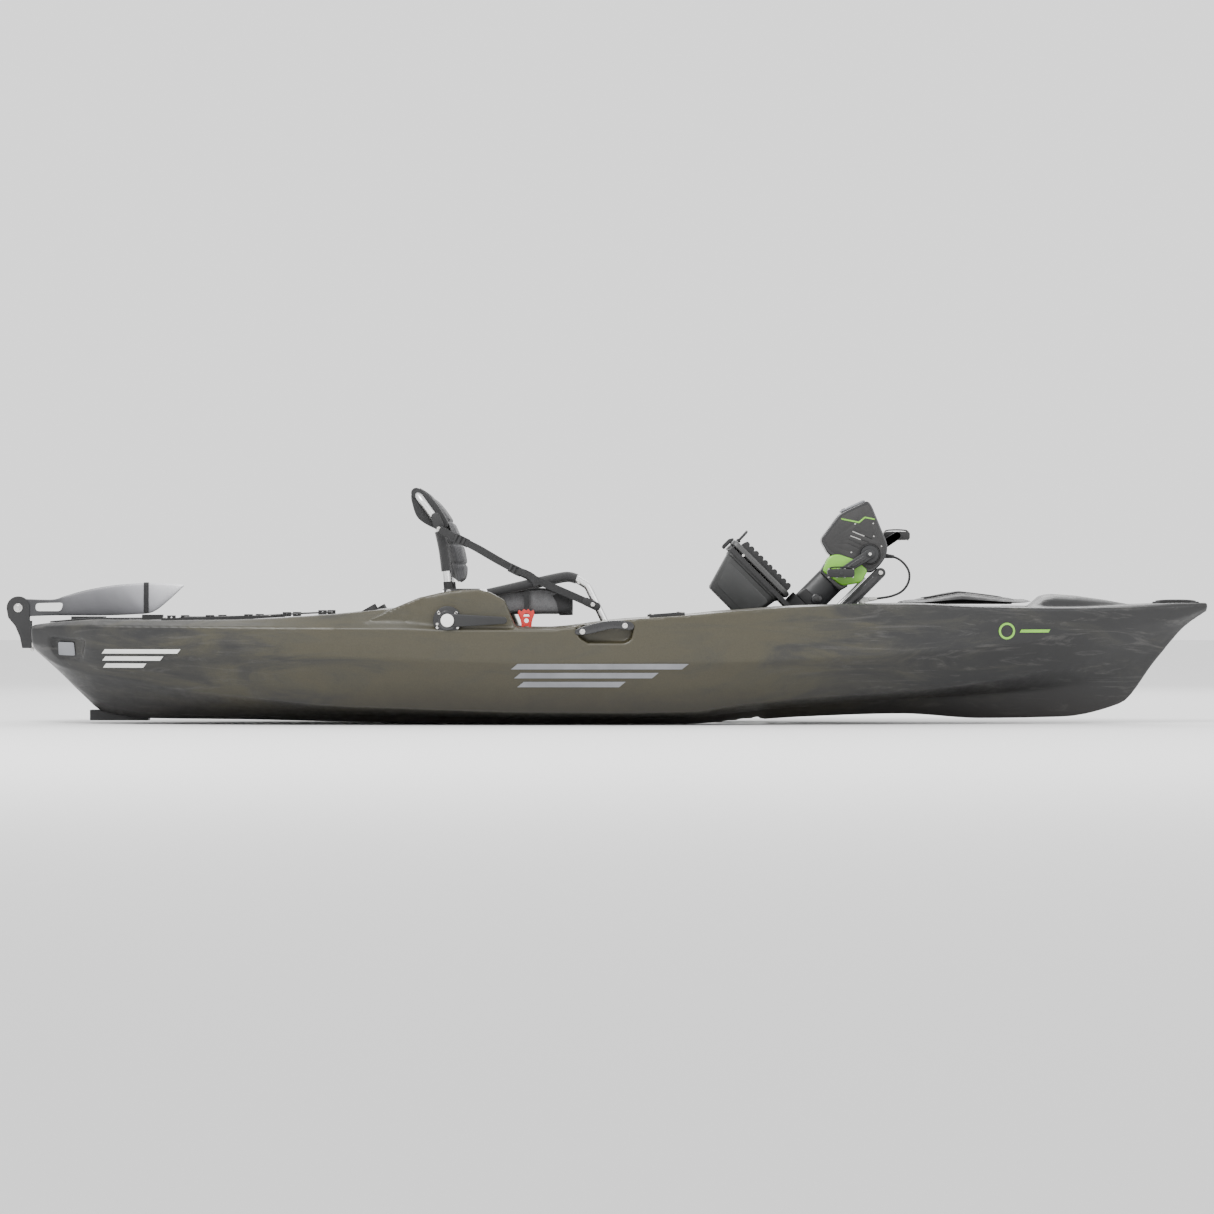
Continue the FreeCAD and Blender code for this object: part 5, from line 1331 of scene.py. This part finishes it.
def bow_handle():
    """Moulded grip arching between two bolted feet."""
    low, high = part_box("bow_handle")
    x0, z0, x1, z1 = (value / MM for value in (low[0], low[2], high[0], high[2]))
    grip = [(x0 + 14, 0, z0 + 2), (x0 + 24, 0, z1 - 9), (x0 + 50, 0, z1 - 7), (x1 - 50, 0, z1 - 7),
            (x1 - 24, 0, z1 - 9), (x1 - 14, 0, z0 + 2)]
    bar = pipe("bow_grip", grip, 7, RUBBER, "hull")
    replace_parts(bar, "bow_handle")
    for index, x in enumerate((x0 + 16, x1 - 16)):
        foot = cushion_mesh("bow_foot", 15, 14, 5, 2, 0, lambda a, b, h, at=x: (at + a, b, z0 + 1 + h), 12)
        shade_by_angle(new_object("bow_foot_%d" % index, foot, BLACK, "hull"), 50)


def steering(side, word):
    centre = (-532, 353)
    round_part = [(x, max(z, 313)) for x, z in circle(*centre, 48, 56)]
    base = plate("steering_base_" + word, round_part, side * 436, side * 455, BLACK, "hull", 2.5)
    plate("steering_ring_" + word, circle(*centre, 33), side * 454, side * 457.6, GLOSS_BLACK, "hull", 1.2)
    for index, (dx, dz) in enumerate(((-29, 27), (30, 26), (-34, -24), (34, -24))):
        disc("steering_bolt_%s_%d" % (word, index), centre[0] + dx, centre[1] + dz, 4.6, side * 454,
             side * 458,
             STEEL, "hull", 1, "steel")
    bar = bar_outline(centre, (-345, 353), 23, 12)
    lever = plate("steering_bar_" + word, bar, side * 458.6, side * 466.8, BLACK, "steering_lever_" + word,
                  2.6)
    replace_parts(lever, "steering_lever_" + word)
    cap = disc("steering_button_" + word, *centre, 22, side * 466, side * 473.5, WHITE,
               "steering_lever_" + word, 3,
               "white_plastic")
    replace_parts(cap, "steering_cap_" + word)
    return base


def deck_pads():
    """Ribbed foam underfoot: shallow grooves run across each pad."""
    first = None
    for index, (x0, x1, z0, y0, y1) in enumerate(((-300, 170, 91.5, 20, 150), (200, 520, 91.5, 150, 250))):
        profile = [(x1, z0), (x0, z0)]
        count = int((x1 - x0) / 23.5)
        pitch = (x1 - x0) / count
        for rib in range(count):
            start = x0 + rib * pitch
            profile += [(start + 1.5, z0 + 2.6), (start + 3, z0 + 4.6), (start + pitch - 3, z0 + 4.6),
                        (start + pitch - 1.5, z0 + 2.6)]
        for side, word in ((-1, "right"), (1, "left")):
            pad = plate("deck_pad_%d_%s" % (index, word), profile, side * y0, side * y1, FOAM, "hull", 0)
            first = first or pad
    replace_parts(first, "deck_pads")


def side_patch(name, spread, steps, look, side):
    """A thin film on the hull's side; spread(u, v) gives its (x, z) for u and v from 0 to 1."""
    points = []
    faces = []
    for i in range(steps + 1):
        for j in range(5):
            x, z = spread(i / steps, j / 4)
            points.append((x * MM, side * (hull_side_y(x, z) + 1.3) * MM, z * MM))
    for i in range(steps):
        for j in range(4):
            corner = 5 * i + j
            faces.append((corner, corner + 1, corner + 6, corner + 5))
    film = new_object(name, mesh_of(name, points, faces), look, "hull")
    thick = film.modifiers.new("thick", "SOLIDIFY")
    thick.thickness = 0.0012
    thick.offset = 0
    apply_modifiers(film)
    return shade_by_angle(film, 40)


def slanted(x0, x1, z0, z1, lean):
    return lambda u, v: (x0 + (x1 - x0) * u + lean * v, z0 + (z1 - z0) * v)


def decals():
    """Plain stripes, a ring and blank labels; nothing here spells a word or copies a mark."""
    for side, word in ((-1, "right"), (1, "left")):
        bars = [(-320, 250, 190, 208, 22), (-310, 150, 160, 178, 22), (-300, 40, 130, 148, 22),
                (-1700, -1440, 242, 256, 12), (-1700, -1500, 218, 232, 12), (-1700, -1560, 194, 208, 12)]
        for index, bar in enumerate(bars):
            look = GREY_HOUSING if index < 3 else WHITE
            side_patch("stripe_%s_%d" % (word, index), slanted(*bar), 24, look, side)
        side_patch("stripe_green_" + word, slanted(1392, 1492, 312, 322, 6), 10, GREEN, side)
        side_patch("ring_green_" + word,
                   lambda u, v: (1348 + (21 + 7 * v) * math.cos(2 * math.pi * u),
                                 317 + (21 + 7 * v) * math.sin(2 * math.pi * u)), 36, GREEN, side)
        corners = []
        for x, z in ((-1858, 236), (-1798, 234), (-1800, 278), (-1856, 280)):
            corners.append((x, side * (hull_side_y(x, z) - 11.5), z))
        raised_panel("blank_label_" + word, corners, 1.6, GREY_HOUSING, "hull", (0, side, 0))


hatch_lid()
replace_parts(both(side_handle)[0], "side_handles")
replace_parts(both(steering)[0], "steering_bases")
bow_handle()
deck_pads()
decals()


# ---------------------------------------------------------------- studio

def studio():
    bpy.ops.mesh.primitive_plane_add(size=80)
    floor = bpy.context.object
    floor.name = "floor"
    material, _, _ = principled("pale_floor", (0.82, 0.82, 0.82), 0.9)
    floor.data.materials.append(material)
    world = bpy.data.worlds.new("studio")
    world.use_nodes = True
    world.node_tree.nodes["Background"].inputs["Color"].default_value = (1.0, 1.0, 1.0, 1)
    world.node_tree.nodes["Background"].inputs["Strength"].default_value = 1.55
    bpy.context.scene.world = world
    for name, place, size, power in (("key", (-2.5, -4.5, 5.5), 3.0, 520), ("fill", (4.5, -4.0, 2.6), 4.0,
                                                                            120),
                                     ("back", (0.5, 5.5, 4.0), 4.0, 200)):
        light = bpy.data.lights.new(name, "AREA")
        light.size = size
        light.energy = power
        lamp = bpy.data.objects.new(name, light)
        collection.objects.link(lamp)
        lamp.location = place
        lamp.rotation_euler = (Vector((0, 0, 0.3)) - Vector(place)).to_track_quat("-Z", "Y").to_euler()


def camera():
    """Level side view from starboard, at the height of the gunwale."""
    view_width = 4.164
    distance = 16.0
    data = bpy.data.cameras.new("camera")
    data.sensor_width = 36
    data.lens = 36 * distance / view_width
    data.clip_end = 100
    eye = bpy.data.objects.new("camera", data)
    collection.objects.link(eye)
    eye.location = (0, -distance, 0.398)
    eye.rotation_euler = (math.pi / 2, 0, 0)
    bpy.context.scene.camera = eye


studio()
camera()
